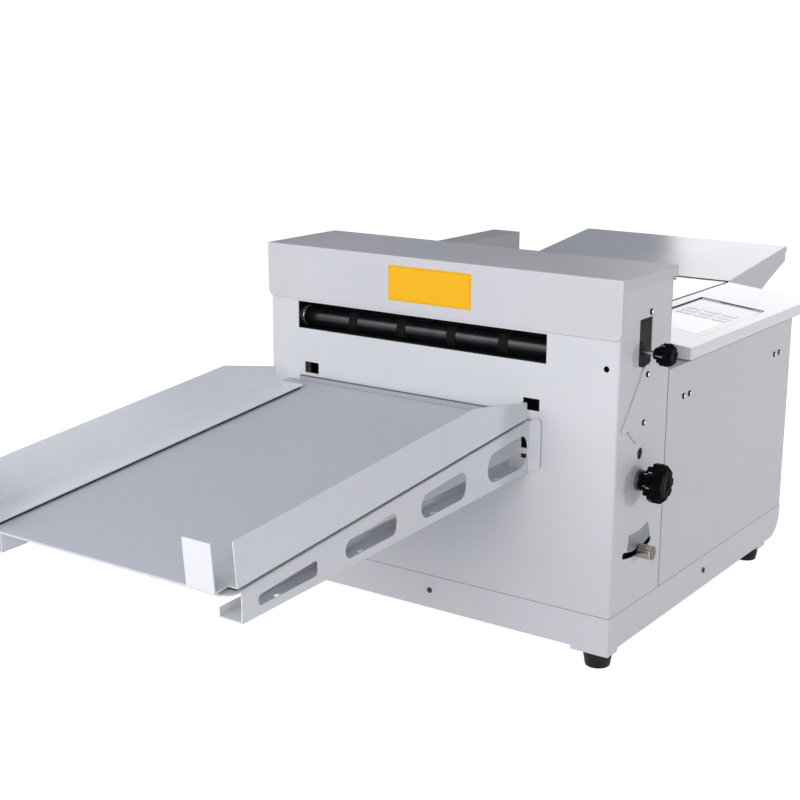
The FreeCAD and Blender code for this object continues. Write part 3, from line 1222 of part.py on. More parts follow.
def main_shaft():
    """Shaft with its two eccentrics and its belt pulley."""
    whole = [rod_x(FRAME_L0 - MAIN_TAIL, MAIN_X1, TOOL_Y, MAIN_Z, MAIN_R)]
    for x0, x1 in yoke_faces():
        whole.append(rod_x(x0, x1, TOOL_Y, MAIN_Z + ECC_THROW, ECC_R))
    whole.append(pulley(PULLEY_X0, PULLEY_X1, TOOL_Y, MAIN_Z, MAIN_PULLEY_R, MAIN_R))
    return fuse(whole)


def hand_wheel():
    return star_knob(WHEEL_X0, WHEEL_RIM_X0, WHEEL_X1, TOOL_Y, MAIN_Z,
                     WHEEL_HUB_R, WHEEL_R, WHEEL_LOBES, MAIN_R)


def motor_pulley():
    wheel = pulley(PULLEY_X0, PULLEY_X1, TOOL_Y, CREASE_MOTOR_Z, MOTOR_PULLEY_R, MOTOR_SHAFT_R)
    return fuse([wheel, rod_x(FRAME_R0 + RUN, PULLEY_X1 + SHAFT_END, TOOL_Y, CREASE_MOTOR_Z, MOTOR_SHAFT_R)])


def drive_belt():
    circles = [(TOOL_Y, CREASE_MOTOR_Z, MOTOR_PULLEY_R), (TOOL_Y, MAIN_Z, MAIN_PULLEY_R)]
    inset = PULLEY_FLANGE + GAP
    return belt(circles, PULLEY_X0 + inset, PULLEY_X1 - inset)


def crease_motor():
    """Geared motor bolted to the inside of the right frame."""
    x0, x1 = FRAME_R0 - CREASE_MOTOR_L, FRAME_R0 - GEARBOX_L
    can = rod_x(x0, x1, TOOL_Y, CREASE_MOTOR_Z, CREASE_MOTOR_R - GEARBOX_STEP)
    gearbox = rod_x(x1, FRAME_R0, TOOL_Y, CREASE_MOTOR_Z, CREASE_MOTOR_R)
    tail = rod_x(x0 - TAIL_L, x0, TOOL_Y, CREASE_MOTOR_Z, TAIL_R)
    return fuse([can, gearbox, tail])


# ================================================================ depth lever
def lever_point(angle, radius):
    return hanging(angle, radius, TOOL_Y, LEVER_Z)


def depth_lever():
    """Sector lever on its shaft: a web with a curved window for the main shaft, and a stud."""
    x0, x1 = LEVER_X0, LEVER_X0 + LEVER_T
    hub = rod_x(x0, x1, TOOL_Y, LEVER_Z, LEVER_HUB_R)
    reach = LEVER_Z - MAIN_Z
    window_half = MAIN_R + LEVER_WINDOW_PLAY
    a_front, a_back = LEVER_REST - LEVER_BACK, LEVER_REST - LEVER_FRONT
    web = arc_band(TOOL_Y, LEVER_Z, LEVER_HUB_R - LEVER_T, reach + window_half + LEVER_WEB_RIM,
                   LEVER_REST - LEVER_WEB_ANGLE, LEVER_REST + LEVER_WEB_ANGLE, x0, x1)
    window = arc_band(TOOL_Y, LEVER_Z, reach - window_half, reach + window_half,
                      a_front, a_back, x0 - 1, x1 + 1, rounded=True)
    root = reach + window_half + LEVER_WEB_RIM / 2
    arm = prism_yz([lever_point(LEVER_REST - LEVER_ARM_ANGLE, root),
                    lever_point(LEVER_REST - LEVER_TIP_ANGLE, LEVER_RADIUS),
                    lever_point(LEVER_REST + LEVER_TIP_ANGLE, LEVER_RADIUS),
                    lever_point(LEVER_REST + LEVER_ARM_ANGLE, root)], x0, x1)
    end_y, end_z = lever_point(LEVER_REST, LEVER_RADIUS)
    nose = rod_x(x0, x1, end_y, end_z, LEVER_NOSE_R)
    stud = rod_x(x1 - 1, HALF_W + STUD_REACH, end_y, end_z, STUD_R)
    shaft = rod_x(FRAME_R0, HALF_W - 1, TOOL_Y, LEVER_Z, LEVER_SHAFT_R)
    plate = fuse([hub, web, arm, nose]).cut(window)
    return fuse([plate, stud, shaft])


def depth_knob():
    y, z = lever_point(LEVER_REST, LEVER_RADIUS)
    x0 = HALF_W + DEPTH_KNOB_GAP
    knob = rod_x(x0, x0 + DEPTH_KNOB_L, y, z, DEPTH_KNOB_R)
    ends = [e for e in knob.Edges if isinstance(e.Curve, Part.Circle)]
    knob = knob.makeChamfer(DEPTH_KNOB_CHAMFER, ends)
    return knob.cut(rod_x(x0 - 1, HALF_W + STUD_REACH, y, z, STUD_R))


def depth_scale():
    """Curved plate above the slot that carries the graduations."""
    return arc_band(TOOL_Y, LEVER_Z, SCALE_R0, SCALE_R1, SCALE_A0, SCALE_A1,
                    HALF_W, HALF_W + SCALE_T)


# ================================================================ door of the tool slot
def tangent_point(corner, side):
    """Where a line from the corner touches the round end of the door, seen from its pivot."""
    turn = side * math.degrees(math.acos(DOOR_END_R / math.hypot(*corner)))
    return polar(math.degrees(math.atan2(corner[1], corner[0])) + turn, DOOR_END_R, 0, 0)


def slot_door():
    """Thin swinging plate, round at its pivot and hooked at its free end."""
    x0 = HALF_W + GAP
    x1 = x0 + DOOR_T
    outline = [tangent_point(DOOR_LEFT, -1), DOOR_LEFT] + DOOR_HOOK
    outline += [DOOR_RIGHT, tangent_point(DOOR_RIGHT, 1)]
    plate = fuse([prism_yz(outline, x0, x1), rod_x(x0, x1, 0, 0, DOOR_END_R)])
    plate = plate.cut(rod_x(x0 - 1, x1 + 1, 0, 0, SCREW_R + RUN))
    plate.translate(V(0, DOOR_PIVOT_Y, DOOR_PIVOT_Z))
    return plate


# ================================================================ feed table
def table_level(x):
    """Height of the table surface; the console falls away to the right."""
    if x <= CONSOLE_X0:
        return Z_TABLE
    return Z_TABLE - CONSOLE_DROP * (x - CONSOLE_X0) / (TABLE_HALF - CONSOLE_X0)


def table_section(drop, inset):
    """Cross section of the table across the machine, as a closed band of XZ points."""
    left, right = -TABLE_HALF + inset, TABLE_HALF - inset
    base = Z_REAR_TOP + TABLE_SKIRT_GAP - (1 if inset else 0)
    return [(left, base), (left, Z_TABLE - drop), (CONSOLE_X0, Z_TABLE - drop),
            (right, table_level(right) - drop), (right, base)]


def table_top():
    """Folded sheet with skirts on all sides and a tongue that leads the paper in."""
    outer = prism_xz(table_section(0, 0), TABLE_Y0, TABLE_Y1)
    outer = round_edges(outer, BEND - SHEET, lambda e: runs_along(e, V(0, 0, 1)))
    inner = prism_xz(table_section(SHEET, SHEET), TABLE_Y0 + SHEET, TABLE_Y1 - SHEET)
    table = outer.cut(inner)
    pocket = block(PANEL_X0 - PANEL_GROOVE, PANEL_X1 + PANEL_GROOVE, PANEL_Y0 - PANEL_GROOVE,
                   PANEL_Y1 + PANEL_GROOVE, Z_REAR_TOP, Z_TABLE)
    table = table.cut(pocket)
    root, rise = TABLE_Y0 + TONGUE_ROOT, Z_NIP - TONGUE_BELOW_NIP
    tongue = prism_yz([(root, Z_TABLE), (TONGUE_END_Y, rise), (TONGUE_END_Y, rise - SHEET),
                       (root, Z_TABLE - SHEET)], MOUTH_X - TONGUE_HALF, MOUTH_X + TONGUE_HALF)
    table = table.fuse(tongue)
    half_w, half_d = FEED_WHEEL_W / 2 + PAD_SLOT_PLAY, PAD_HALF_D + PAD_SLOT_PLAY
    for x in feed_wheel_centres():
        table = table.cut(block(x - half_w, x + half_w, FEED_Y - half_d, FEED_Y + half_d,
                                Z_TABLE - 2 * SHEET, Z_NIP + 2 * SHEET))
    return table.removeSplitter()


def console_slope():
    return math.degrees(math.atan(CONSOLE_DROP / (TABLE_HALF - CONSOLE_X0)))


def on_console(shape):
    """Tilt a piece that was drawn level at the table height onto the console."""
    shape.rotate(V(CONSOLE_X0, 0, Z_TABLE), V(0, 1, 0), console_slope())
    return shape


def control_panel():
    """Operating panel hung on four bushes under its opening in the console."""
    z1 = Z_TABLE - PANEL_SINK
    m = PANEL_RIM
    plate = block(PANEL_X0 - m, PANEL_X1 + m, PANEL_Y0 - m, PANEL_Y1 + m, z1 - PANEL_H, z1)
    plate = round_edges(plate, PANEL_ROUND, lambda e: runs_along(e, V(0, 0, 1)))
    bushes = [rod_z(z1 - SHEET, Z_TABLE - SHEET, x, y, PANEL_BUSH_R)
              for x in (PANEL_X0 - m / 2, PANEL_X1 + m / 2) for y in (PANEL_Y0 - m / 2, PANEL_Y1 + m / 2)]
    sx, ex, sy, ey = screen_box()
    recess = block(sx - GAP, ex + GAP, sy - GAP, ey + GAP, z1 - SCREEN_T, z1 + 1)
    return on_console(fuse([plate] + bushes).cut(recess))


def screen_box():
    return (PANEL_X0 + SCREEN_INSET, PANEL_X1 - SCREEN_INSET,
            PANEL_Y0 + SCREEN_INSET, PANEL_Y0 + SCREEN_INSET + SCREEN_L)


def touch_screen():
    sx, ex, sy, ey = screen_box()
    z0 = Z_TABLE - PANEL_SINK - SCREEN_T
    return on_console(block(sx, ex, sy, ey, z0, z0 + SCREEN_T))


def feed_wheel_centres():
    return [PATH_X - FEED_WHEEL_PITCH, PATH_X, PATH_X + FEED_WHEEL_PITCH]


def feed_level():
    """Height of the tongue under the feed wheels."""
    root = TABLE_Y0 + TONGUE_ROOT
    share = (root - FEED_Y) / (root - TONGUE_END_Y)
    return Z_TABLE + share * (Z_NIP - TONGUE_BELOW_NIP - Z_TABLE)


def feed_axis_z():
    return feed_level() + FEED_WHEEL_LIFT + FEED_WHEEL_R


def feed_wheels():
    z = feed_axis_z()
    wheels = []
    for x in feed_wheel_centres():
        a, b = x - FEED_WHEEL_W / 2, x + FEED_WHEEL_W / 2
        wheels.append(ring_x(a, b, FEED_Y, z, FEED_WHEEL_R, FEED_SHAFT_R))
    return Part.makeCompound(wheels)


def feed_shaft():
    half = FEED_HALF + FEED_SHAFT_END
    return rod_x(PATH_X - half, PATH_X + half, FEED_Y, feed_axis_z(), FEED_SHAFT_R)


def feed_ear_faces():
    """Inner faces of the two ears that carry the feed shaft."""
    return [(PATH_X - FEED_HALF, -1), (PATH_X + FEED_HALF, 1)]


def feed_ears():
    z = feed_axis_z()
    y0 = HEAD_D - SHEET - GAP
    ears = []
    for x, side in feed_ear_faces():
        a, b = min(x, x + side * FEED_EAR_T), max(x, x + side * FEED_EAR_T)
        top = z + FEED_EAR_UP
        ears.append(block(a, b, y0 - SHEET, FEED_Y, z - FEED_EAR_DOWN, top))
        ears.append(rod_x(a, b, FEED_Y, z, FEED_SHAFT_R + FEED_EAR_RIM))
        ears.append(block(a, b, y0 - SHEET, y0 + FEED_EAR_TAB_D, top, top + FEED_EAR_TAB_H))
    return ears


def separator_pads():
    """Rubber pads on a small carrier under the feed wheels."""
    z = feed_level()
    y0, y1 = FEED_Y - PAD_HALF_D, FEED_Y + PAD_HALF_D
    under = z - PAD_T
    base = under - PAD_CARRIER_T
    half = FEED_WHEEL_W / 2
    pads = [block(x - half, x + half, y0, y1, under, z + PAD_LIFT) for x in feed_wheel_centres()]
    x0, x1 = feed_wheel_centres()[0] - PAD_OVERHANG, feed_wheel_centres()[-1] + PAD_OVERHANG
    carrier = block(x0, x1, y0, y1, base, under)
    legs = [block(x, x + PAD_LEG_W, y0, y1, Z_REAR_TOP, base) for x in (x0, x1 - PAD_LEG_W)]
    return fuse(pads + [carrier] + legs)


# ================================================================ infeed tray and side guides
def infeed_tray():
    """Extension plate that rises to the back, with short turned-down sides."""
    run = INFEED_Y1 - INFEED_Y0
    length = run / math.cos(math.radians(INFEED_ANGLE))
    x0, x1 = INFEED_X0, INFEED_X1
    plate = block(x0, x1, 0, length, -SHEET, 0)
    hem = block(x0, x1, length - SHEET, length, -INFEED_HEM, 0)
    tray = fuse([plate, hem])
    tray.rotate(V(0, 0, 0), V(1, 0, 0), INFEED_ANGLE)
    tray.translate(V(0, INFEED_Y0, Z_TABLE))
    return tray


def infeed_underside(y):
    rise = (y - INFEED_Y0) * math.tan(math.radians(INFEED_ANGLE))
    return Z_TABLE + rise - (SHEET + GRAIN) / math.cos(math.radians(INFEED_ANGLE))


def infeed_gusset_faces():
    """Outer face of each gusset and the way it is folded."""
    return [(INFEED_X0, 1), (INFEED_X1, -1)]


def infeed_brackets():
    """Two gussets that hold the extension plate to the back of the machine."""
    y_wall = BODY_D
    y0, y1 = INFEED_Y0 + 1, INFEED_Y1 - SHEET * 2
    under_table = Z_REAR_TOP + GUSSET_TOP_GAP
    outline = [(y_wall, GUSSET_Z)]
    outline += [(INFEED_Y0 + back, GUSSET_Z + up) for back, up in GUSSET_SLOPE]
    outline += [(y1, infeed_underside(y1) - INFEED_SIDE), (y1, infeed_underside(y1)),
                (y0, infeed_underside(y0)), (y0, under_table), (y_wall, under_table)]
    brackets = []
    for x, side in infeed_gusset_faces():
        a, b = min(x, x + side * SHEET), max(x, x + side * SHEET)
        c, d = min(x, x + side * GUSSET_FOOT_W), max(x, x + side * GUSSET_FOOT_W)
        foot = block(c, d, y_wall, y_wall + SHEET, GUSSET_Z, under_table)
        brackets.append(fuse([prism_yz(outline, a, b), foot]))
    group = Part.makeCompound(brackets)
    for x, y, z, way in bracket_screw_spots():
        group = group.cut(screw_hole(x, y, z, way))
    return group


def bracket_screw_spots():
    """Screws through the feet of the gussets into the back wall."""
    spots = []
    for x, side in infeed_gusset_faces():
        for z in (GUSSET_Z + GUSSET_SCREW_END, Z_REAR_TOP - GUSSET_SCREW_END):
            spots.append((x + side * GUSSET_SCREW_IN, BODY_D + SHEET, z, (0, -1, 0)))
    return spots


def infeed_guide(right):
    """Folded paper guide: foot, wall, top flange and a turned-down outer edge."""
    z0 = Z_TABLE + GAP
    z1 = z0 + GUIDE_H
    y0, y1 = (RIGHT_GUIDE_Y0, RIGHT_GUIDE_Y1) if right else (LEFT_GUIDE_Y0, LEFT_GUIDE_Y1)
    wall = INFEED_X1 if right else INFEED_X0
    out = 1 if right else -1
    top_w = GUIDE_FOOT_W if right else GUIDE_TOP_W
    folds = [(0, SHEET, z0, z1), (0, top_w, z1 - SHEET, z1), (SHEET, -GUIDE_FOOT_W, z0, z0 + SHEET),
             (top_w - SHEET, top_w, z1 - GUIDE_EDGE, z1)]
    pieces = []
    for from_wall, to_wall, za, zb in folds:
        a, b = wall + out * from_wall, wall + out * to_wall
        pieces.append(block(min(a, b), max(a, b), y0, y1, za, zb))
    return fuse(pieces)


# ================================================================ delivery tray
def on_tray(shape):
    """Tilt a piece drawn level, with the tray surface at zero, onto the sloping tray."""
    shape.rotate(V(0, 0, 0), V(1, 0, 0), TRAY_ANGLE)
    shape.translate(V(0, 0, TRAY_Z))
    return shape


def delivery_tray():
    y1 = -TRAY_FRONT_GAP
    plate = block(TRAY_X0, TRAY_X1, -TRAY_L, y1, -SHEET, 0)
    plate = round_edges(plate, TRAY_CORNER, lambda e: runs_along(e, V(0, 0, 1)) and middle(e).y < y1 - 1)
    lip = block(TRAY_X0 + TRAY_LIP_INSET, TRAY_X1 - TRAY_LIP_INSET, y1 - SHEET, y1, 0, TRAY_LIP)
    hem = block(TRAY_X0 + TRAY_CORNER, TRAY_X1 - TRAY_CORNER, -TRAY_L, -TRAY_L + SHEET, -TRAY_HEM, 0)
    return on_tray(fuse([plate, lip, hem]))


def tray_underside(y):
    return TRAY_Z + y * math.tan(math.radians(TRAY_ANGLE)) - SHEET / math.cos(math.radians(TRAY_ANGLE))


def rail_bottom(y):
    return RAIL_Z_WALL + RAIL_FALL * y


def rail_top(y):
    return tray_underside(y) - GRAIN


def rail_panel(x0, x1, bottom, top):
    """Flat part of a rail between two edges given as functions of Y."""
    y0, y1 = -RAIL_L, -RAIL_PLAY
    return prism_yz([(y0, bottom(y0)), (y1, bottom(y1)), (y1, top(y1)), (y0, top(y0))], x0, x1)


def rail_slot(y0, y1, x0, x1):
    """Rounded opening that follows both edges of the web."""
    corners = [(y0, rail_bottom(y0) + RAIL_MARGIN_BOTTOM), (y1, rail_bottom(y1) + RAIL_MARGIN_BOTTOM),
               (y1, rail_top(y1) - RAIL_MARGIN_TOP), (y0, rail_top(y0) - RAIL_MARGIN_TOP)]
    radius = min(RAIL_SLOT_R, (corners[3][1] - corners[0][1]) / 2 - GAP)
    return round_edges(prism_yz(corners, x0, x1), radius, lambda e: runs_along(e, V(1, 0, 0)))


def rail_ear(x, y1):
    """Ear that bears on the front panel; it may rise only beside the tray."""
    top = rail_top(y1) - SHEET
    rise = RAIL_END_RISE if x + RAIL_END_W > TRAY_X1 else 0
    outer = x + RAIL_END_W
    ear = prism_xz([(x - SHEET, RAIL_Z_WALL), (outer, RAIL_Z_WALL + RAIL_END_LIFT), (outer, top + rise),
                    (x - SHEET, top)], y1 - SHEET, y1)
    return round_edges(ear, RAIL_END_ROUND, lambda e: runs_along(e, V(0, 1, 0)) and middle(e).x > x + 1)


def tray_rail(x):
    """Folded channel under the tray; its outer face is at x and it opens to the left."""
    t = SHEET
    web = rail_panel(x - t, x, rail_bottom, rail_top)
    top = rail_panel(x - RAIL_TOP_W, x, lambda y: rail_top(y) - t, rail_top)
    bottom = rail_panel(x - RAIL_BOTTOM_W, x, rail_bottom, lambda y: rail_bottom(y) + t)
    lip_x = x - RAIL_BOTTOM_W
    lip = rail_panel(lip_x, lip_x + t, rail_bottom, lambda y: rail_bottom(y) + RAIL_LIP)
    y1 = -RAIL_PLAY
    end = rail_ear(x, y1)
    tab = block(x - t, x, y1 - 1, y1 + HOOK_TAB_L, HOOK_TAB_Z0, HOOK_TAB_Z1)
    rail = fuse([web, top, bottom, lip, end, tab])
    for i in range(RAIL_SLOT_COUNT):
        y_near = -RAIL_SLOT_FIRST - i * RAIL_SLOT_PITCH
        rail = rail.cut(rail_slot(y_near - RAIL_SLOT_L, y_near, x - t - 1, x + 1))
        y_hole = y_near - RAIL_SLOT_L / 2
        rail = rail.cut(rod_z(rail_bottom(y_hole) - t, rail_bottom(y_hole) + 2 * t,
                              x - RAIL_BOTTOM_W / 2, y_hole, RAIL_HOLE_R))
    return rail


def side_guide(right):
    """Folded delivery guide with a sloping inner end and a turned-up end stop."""
    t = SHEET
    z0 = STRIP_T + GAP
    y0 = SIDE_FRONT - TRAY_L
    y1 = SIDE_END_RIGHT if right else SIDE_END_LEFT
    outline = [(y0, z0), (y1, z0), (y1, z0 + SIDE_WALL_LOW), (-SIDE_WALL_SLOPE_L, z0 + SIDE_WALL_H),
               (y0, z0 + SIDE_WALL_H)]
    if right:
        wall = prism_yz(outline, TRAY_X1 - t, TRAY_X1)
        f0, f1 = TRAY_X1 - SIDE_FLANGE, TRAY_X1
        s0, s1 = f0, f0 + STOP_W
    else:
        wall = prism_yz(outline, TRAY_X0, TRAY_X0 + t)
        f0, f1 = TRAY_X0, TRAY_X0 + SIDE_FLANGE
        s0, s1 = f1 - STOP_W, f1
    flange = block(f0, f1, y0, y1, z0, z0 + t)
    tongue = block(s0, s1, y0 - STOP_REACH, y0, z0, z0 + t)
    stop = block(s0, s1, y0 - STOP_REACH, y0 - STOP_REACH + t, z0, z0 + STOP_H)
    guide = fuse([wall, flange, tongue, stop])
    if not right:
        for inset in GUIDE_HOLES:
            guide = guide.cut(rod_z(z0 - 1, z0 + t + 1, f1 - inset, y1 - GUIDE_HOLE_END, GUIDE_HOLE_R))
    return on_tray(guide)


def guide_strip(right):
    """Magnetic strip glued under the flange of a delivery guide."""
    y0 = SIDE_FRONT - TRAY_L + STRIP_INSET
    y1 = (SIDE_END_RIGHT if right else SIDE_END_LEFT) - STRIP_END
    if right:
        x0 = TRAY_X1 - SIDE_FLANGE + STRIP_INSET
    else:
        x0 = TRAY_X0 + SIDE_FLANGE - STRIP_INSET - STRIP_W
    return on_tray(block(x0, x0 + STRIP_W, y0, y1, GAP, STRIP_T + GAP))


# ================================================================ electrics in the rear body
def plate_at(x, y, w, d, z0, t):
    """Flat box centred on x and y."""
    return block(x - w / 2, x + w / 2, y - d / 2, y + d / 2, z0, z0 + t)


def control_board():
    """Circuit board on its posts, and the power supply beside it."""
    y = BODY_D - BOARD_BACK - BOARD_D / 2
    z = Z_PAN_FLOOR + BOARD_LIFT
    top = z + BOARD_T
    half_w, half_d = BOARD_W / 2 - POST_INSET, BOARD_D / 2 - POST_INSET
    board = [plate_at(BOARD_X, y, BOARD_W, BOARD_D, z, BOARD_T)]
    board += [rod_z(Z_PAN_FLOOR, z, BOARD_X + dx, y + dy, POST_R)
              for dx in (-half_w, half_w) for dy in (-half_d, half_d)]
    board.append(plate_at(BOARD_X + CHIP_X, y, CHIP_W, CHIP_W, top, CHIP_T))
    board.append(plate_at(BOARD_X + PLUG_X, y, PLUG_W, PLUG_D, top, PLUG_T))
    supply = plate_at(SUPPLY_X, y, SUPPLY_W, SUPPLY_D, Z_PAN_FLOOR, SUPPLY_H)
    return Part.makeCompound([fuse(board), supply])


def power_inlet():
    """Mains socket with an open mouth and three blades, beside the frame of the switch."""
    x0, x1 = INLET_X - INLET_W / 2, INLET_X + INLET_W / 2
    z0, z1 = INLET_Z - INLET_H / 2, INLET_Z + INLET_H / 2
    f, y_out = INLET_FLANGE, BODY_D + INLET_FLANGE_T
    s0, s1 = SWITCH_X - SWITCH_W / 2, SWITCH_X + SWITCH_W / 2
    q0, q1 = SWITCH_Z - SWITCH_H / 2, SWITCH_Z + SWITCH_H / 2
    inlet = fuse([block(x0, x1, BODY_D - INLET_DEPTH, BODY_D, z0, z1),
                  block(s0, s1, BODY_D - SWITCH_DEPTH, BODY_D, q0, q1),
                  block(x0 - f, s1 + f / 2, BODY_D, y_out, z0 - f, z1 + f)])
    w, half_h = SWITCH_WALL, INLET_MOUTH_H / 2
    bottom = BODY_D - INLET_MOUTH_D
    inlet = inlet.cut(block(x0 + INLET_WALL, x1 - INLET_WALL, bottom, y_out + 1,
                            INLET_Z - half_h, INLET_Z + half_h))
    inlet = inlet.cut(block(s0 + w, s1 - w, BODY_D - SWITCH_WELL, y_out + 1, q0 + w, q1 - w))
    inlet = inlet.cut(rod_x(s0 + GAP, s1 - GAP, ROCKER_Y, SWITCH_Z, ROCKER_PIN_R + RUN))
    dw, dh = INLET_BLADE_W / 2, INLET_BLADE_H / 2
    blades = [block(INLET_X + x - dw, INLET_X + x + dw, bottom - 1, bottom - 1 + INLET_BLADE_L,
                    INLET_Z + z - dh, INLET_Z + z + dh) for x, z in INLET_BLADES]
    return fuse([inlet] + blades)


def power_rocker():
    """Rocker of the mains switch on its two pins, tilted to one side."""
    half_x = SWITCH_W / 2 - SWITCH_WALL - GAP
    back, face, dip = ROCKER_Y - ROCKER_BACK, ROCKER_Y + ROCKER_RISE, ROCKER_Y + ROCKER_DIP
    outline = [(back, SWITCH_Z - ROCKER_HALF_H), (back, SWITCH_Z + ROCKER_HALF_H),
               (face, SWITCH_Z + ROCKER_FACE_H), (dip, SWITCH_Z), (face, SWITCH_Z - ROCKER_FACE_H)]
    body = prism_yz(outline, SWITCH_X - half_x, SWITCH_X + half_x)
    pin_half = SWITCH_W / 2 - 2 * GAP
    pins = rod_x(SWITCH_X - pin_half, SWITCH_X + pin_half, ROCKER_Y, SWITCH_Z, ROCKER_PIN_R)
    rocker = fuse([body, pins])
    rocker.rotate(V(0, ROCKER_Y, SWITCH_Z), V(1, 0, 0), ROCKER_TILT)
    return rocker


# ================================================================ all pieces
def pieces():
    return {
        "base_pan": base_pan(),
        "rubber_feet": rubber_feet(),
        "machine_screws": machine_screws(),
        "head_shell": head_shell(),
        "head_back": head_back(),
        "rear_shell": rear_shell(),
        "rear_deck": rear_deck(),
        "head_cover": head_cover(),
        "label_plate": label_plate(),
        "cover_hinges": cover_hinges(),
        "side_frame_left": side_frame(False),
        "side_frame_right": side_frame(True),
        "tie_rods": tie_rods(),
        "shaft_bearings": shaft_bearings(),
        "exit_roller": transport_roller(EXIT_Y),
        "exit_tyres": roller_tyres(EXIT_Y),
        "exit_pinch_roller": pinch_roller(EXIT_Y),
        "infeed_roller": transport_roller(INFEED_Y),
        "infeed_tyres": roller_tyres(INFEED_Y),
        "infeed_pinch_roller": pinch_roller(INFEED_Y),
        "transport_belt": transport_belt(),
        "transport_motor": transport_motor(),
        "transport_motor_pulley": transport_motor_pulley(),
        "creasing_die": creasing_die(),
        "tool_rod": tool_rod(),
        "tool_knob": tool_knob(),
        "die_bed": die_bed(),
        "creasing_blade": creasing_blade(),
        "blade_beam": blade_beam(),
        "ram_yokes": ram_yokes(),
        "ram_guides": ram_guides(),
        "main_shaft": main_shaft(),
        "hand_wheel": hand_wheel(),
        "drive_belt": drive_belt(),
        "crease_motor": crease_motor(),
        "crease_motor_pulley": motor_pulley(),
        "depth_lever": depth_lever(),
        "depth_knob": depth_knob(),
        "depth_scale": depth_scale(),
        "slot_door": slot_door(),
        "table_top": table_top(),
        "control_panel": control_panel(),
        "touch_screen": touch_screen(),
        "feed_wheels": feed_wheels(),
        "feed_shaft": feed_shaft(),
        "separator_pads": separator_pads(),
        "infeed_tray": infeed_tray(),
        "infeed_brackets": infeed_brackets(),
        "infeed_guide_left": infeed_guide(False),
        "infeed_guide_right": infeed_guide(True),
        "delivery_tray": delivery_tray(),
        "rail_left": tray_rail(RAIL_X[0]),
        "rail_right": tray_rail(RAIL_X[1]),
        "delivery_guide_left": side_guide(False),
        "delivery_guide_right": side_guide(True),
        "guide_strip_left": guide_strip(False),
        "guide_strip_right": guide_strip(True),
        "power_inlet": power_inlet(),
        "power_rocker": power_rocker(),
        "control_board": control_board(),
    }


def machine_origin(shapes):
    """Bottom centre of everything, in machine axes."""
    box = Part.makeCompound(list(shapes.values())).BoundBox
    return V((box.XMin + box.XMax) / 2, (box.YMin + box.YMax) / 2, 0)


def main():
    os.makedirs("parts", exist_ok=True)
    shapes = pieces()
    origin = machine_origin(shapes)
    for name, shape in shapes.items():
        shape.translate(origin * -1)
        shape.exportStep(os.path.join("parts", name + ".step"))
    print("pieces", len(shapes), "origin", [round(v, 4) for v in origin])


if __name__ == "__main__":
    main()
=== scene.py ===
import json
import math
import bmesh
import bpy
from bpy.props import FloatProperty, FloatVectorProperty, IntProperty, PointerProperty
from mathutils import Matrix, Vector


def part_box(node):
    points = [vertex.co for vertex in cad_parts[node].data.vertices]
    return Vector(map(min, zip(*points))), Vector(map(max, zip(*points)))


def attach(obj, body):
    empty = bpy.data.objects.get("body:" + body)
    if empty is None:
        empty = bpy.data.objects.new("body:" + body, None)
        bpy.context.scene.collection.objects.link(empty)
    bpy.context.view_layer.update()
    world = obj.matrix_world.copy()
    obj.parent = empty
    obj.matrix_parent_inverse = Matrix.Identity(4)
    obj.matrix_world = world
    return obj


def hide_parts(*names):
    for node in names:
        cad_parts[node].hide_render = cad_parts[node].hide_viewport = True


bl_info = {
    "name": "Creasing machine finish",
    "version": (1, 0, 0),
    "blender": (4, 5, 0),
    "location": "3D View > Sidebar > Creaser",
    "description": "Finishes and small parts of a desktop paper creasing machine",
    "category": "Object",
}

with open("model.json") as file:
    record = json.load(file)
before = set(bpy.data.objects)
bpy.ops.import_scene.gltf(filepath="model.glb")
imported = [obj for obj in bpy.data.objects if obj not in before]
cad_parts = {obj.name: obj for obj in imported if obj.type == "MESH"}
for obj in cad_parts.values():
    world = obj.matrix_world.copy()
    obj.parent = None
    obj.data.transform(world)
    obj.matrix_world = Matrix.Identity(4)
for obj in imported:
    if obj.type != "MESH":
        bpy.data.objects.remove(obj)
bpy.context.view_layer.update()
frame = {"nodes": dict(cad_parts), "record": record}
NODES = frame["nodes"]

MM = 0.001
CONSOLE_WIDTH = 126.0 * MM
CONSOLE_FALL = 13.2 * MM
CONSOLE_SLOPE = math.atan(CONSOLE_FALL / CONSOLE_WIDTH)
PANEL_LEFT, PANEL_RIGHT = 19.0 * MM, 18.0 * MM
PANEL_UNDER = 10.0 * MM
PANEL_GROOVE = 1.2 * MM
PANEL_SINK = 4.0 * MM        # from the console's face down to the display of the solids
MEMBRANE_LIFT = 2.4 * MM     # from that display up to the face of the membrane
SEAM_SHADE = 0.22            # brightness left along a seam
COAT_RELIEF = 0.2 * MM
LAMP_WIDTHS = {"key": 1.1, "front": 1.1, "fill": 2.0, "side": 0.30}
SHELL_LOW, SHELL_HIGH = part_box("head_shell")
FRONT_MIDDLE = Vector(((SHELL_LOW.x + SHELL_HIGH.x) / 2, SHELL_LOW.y, 0.0))


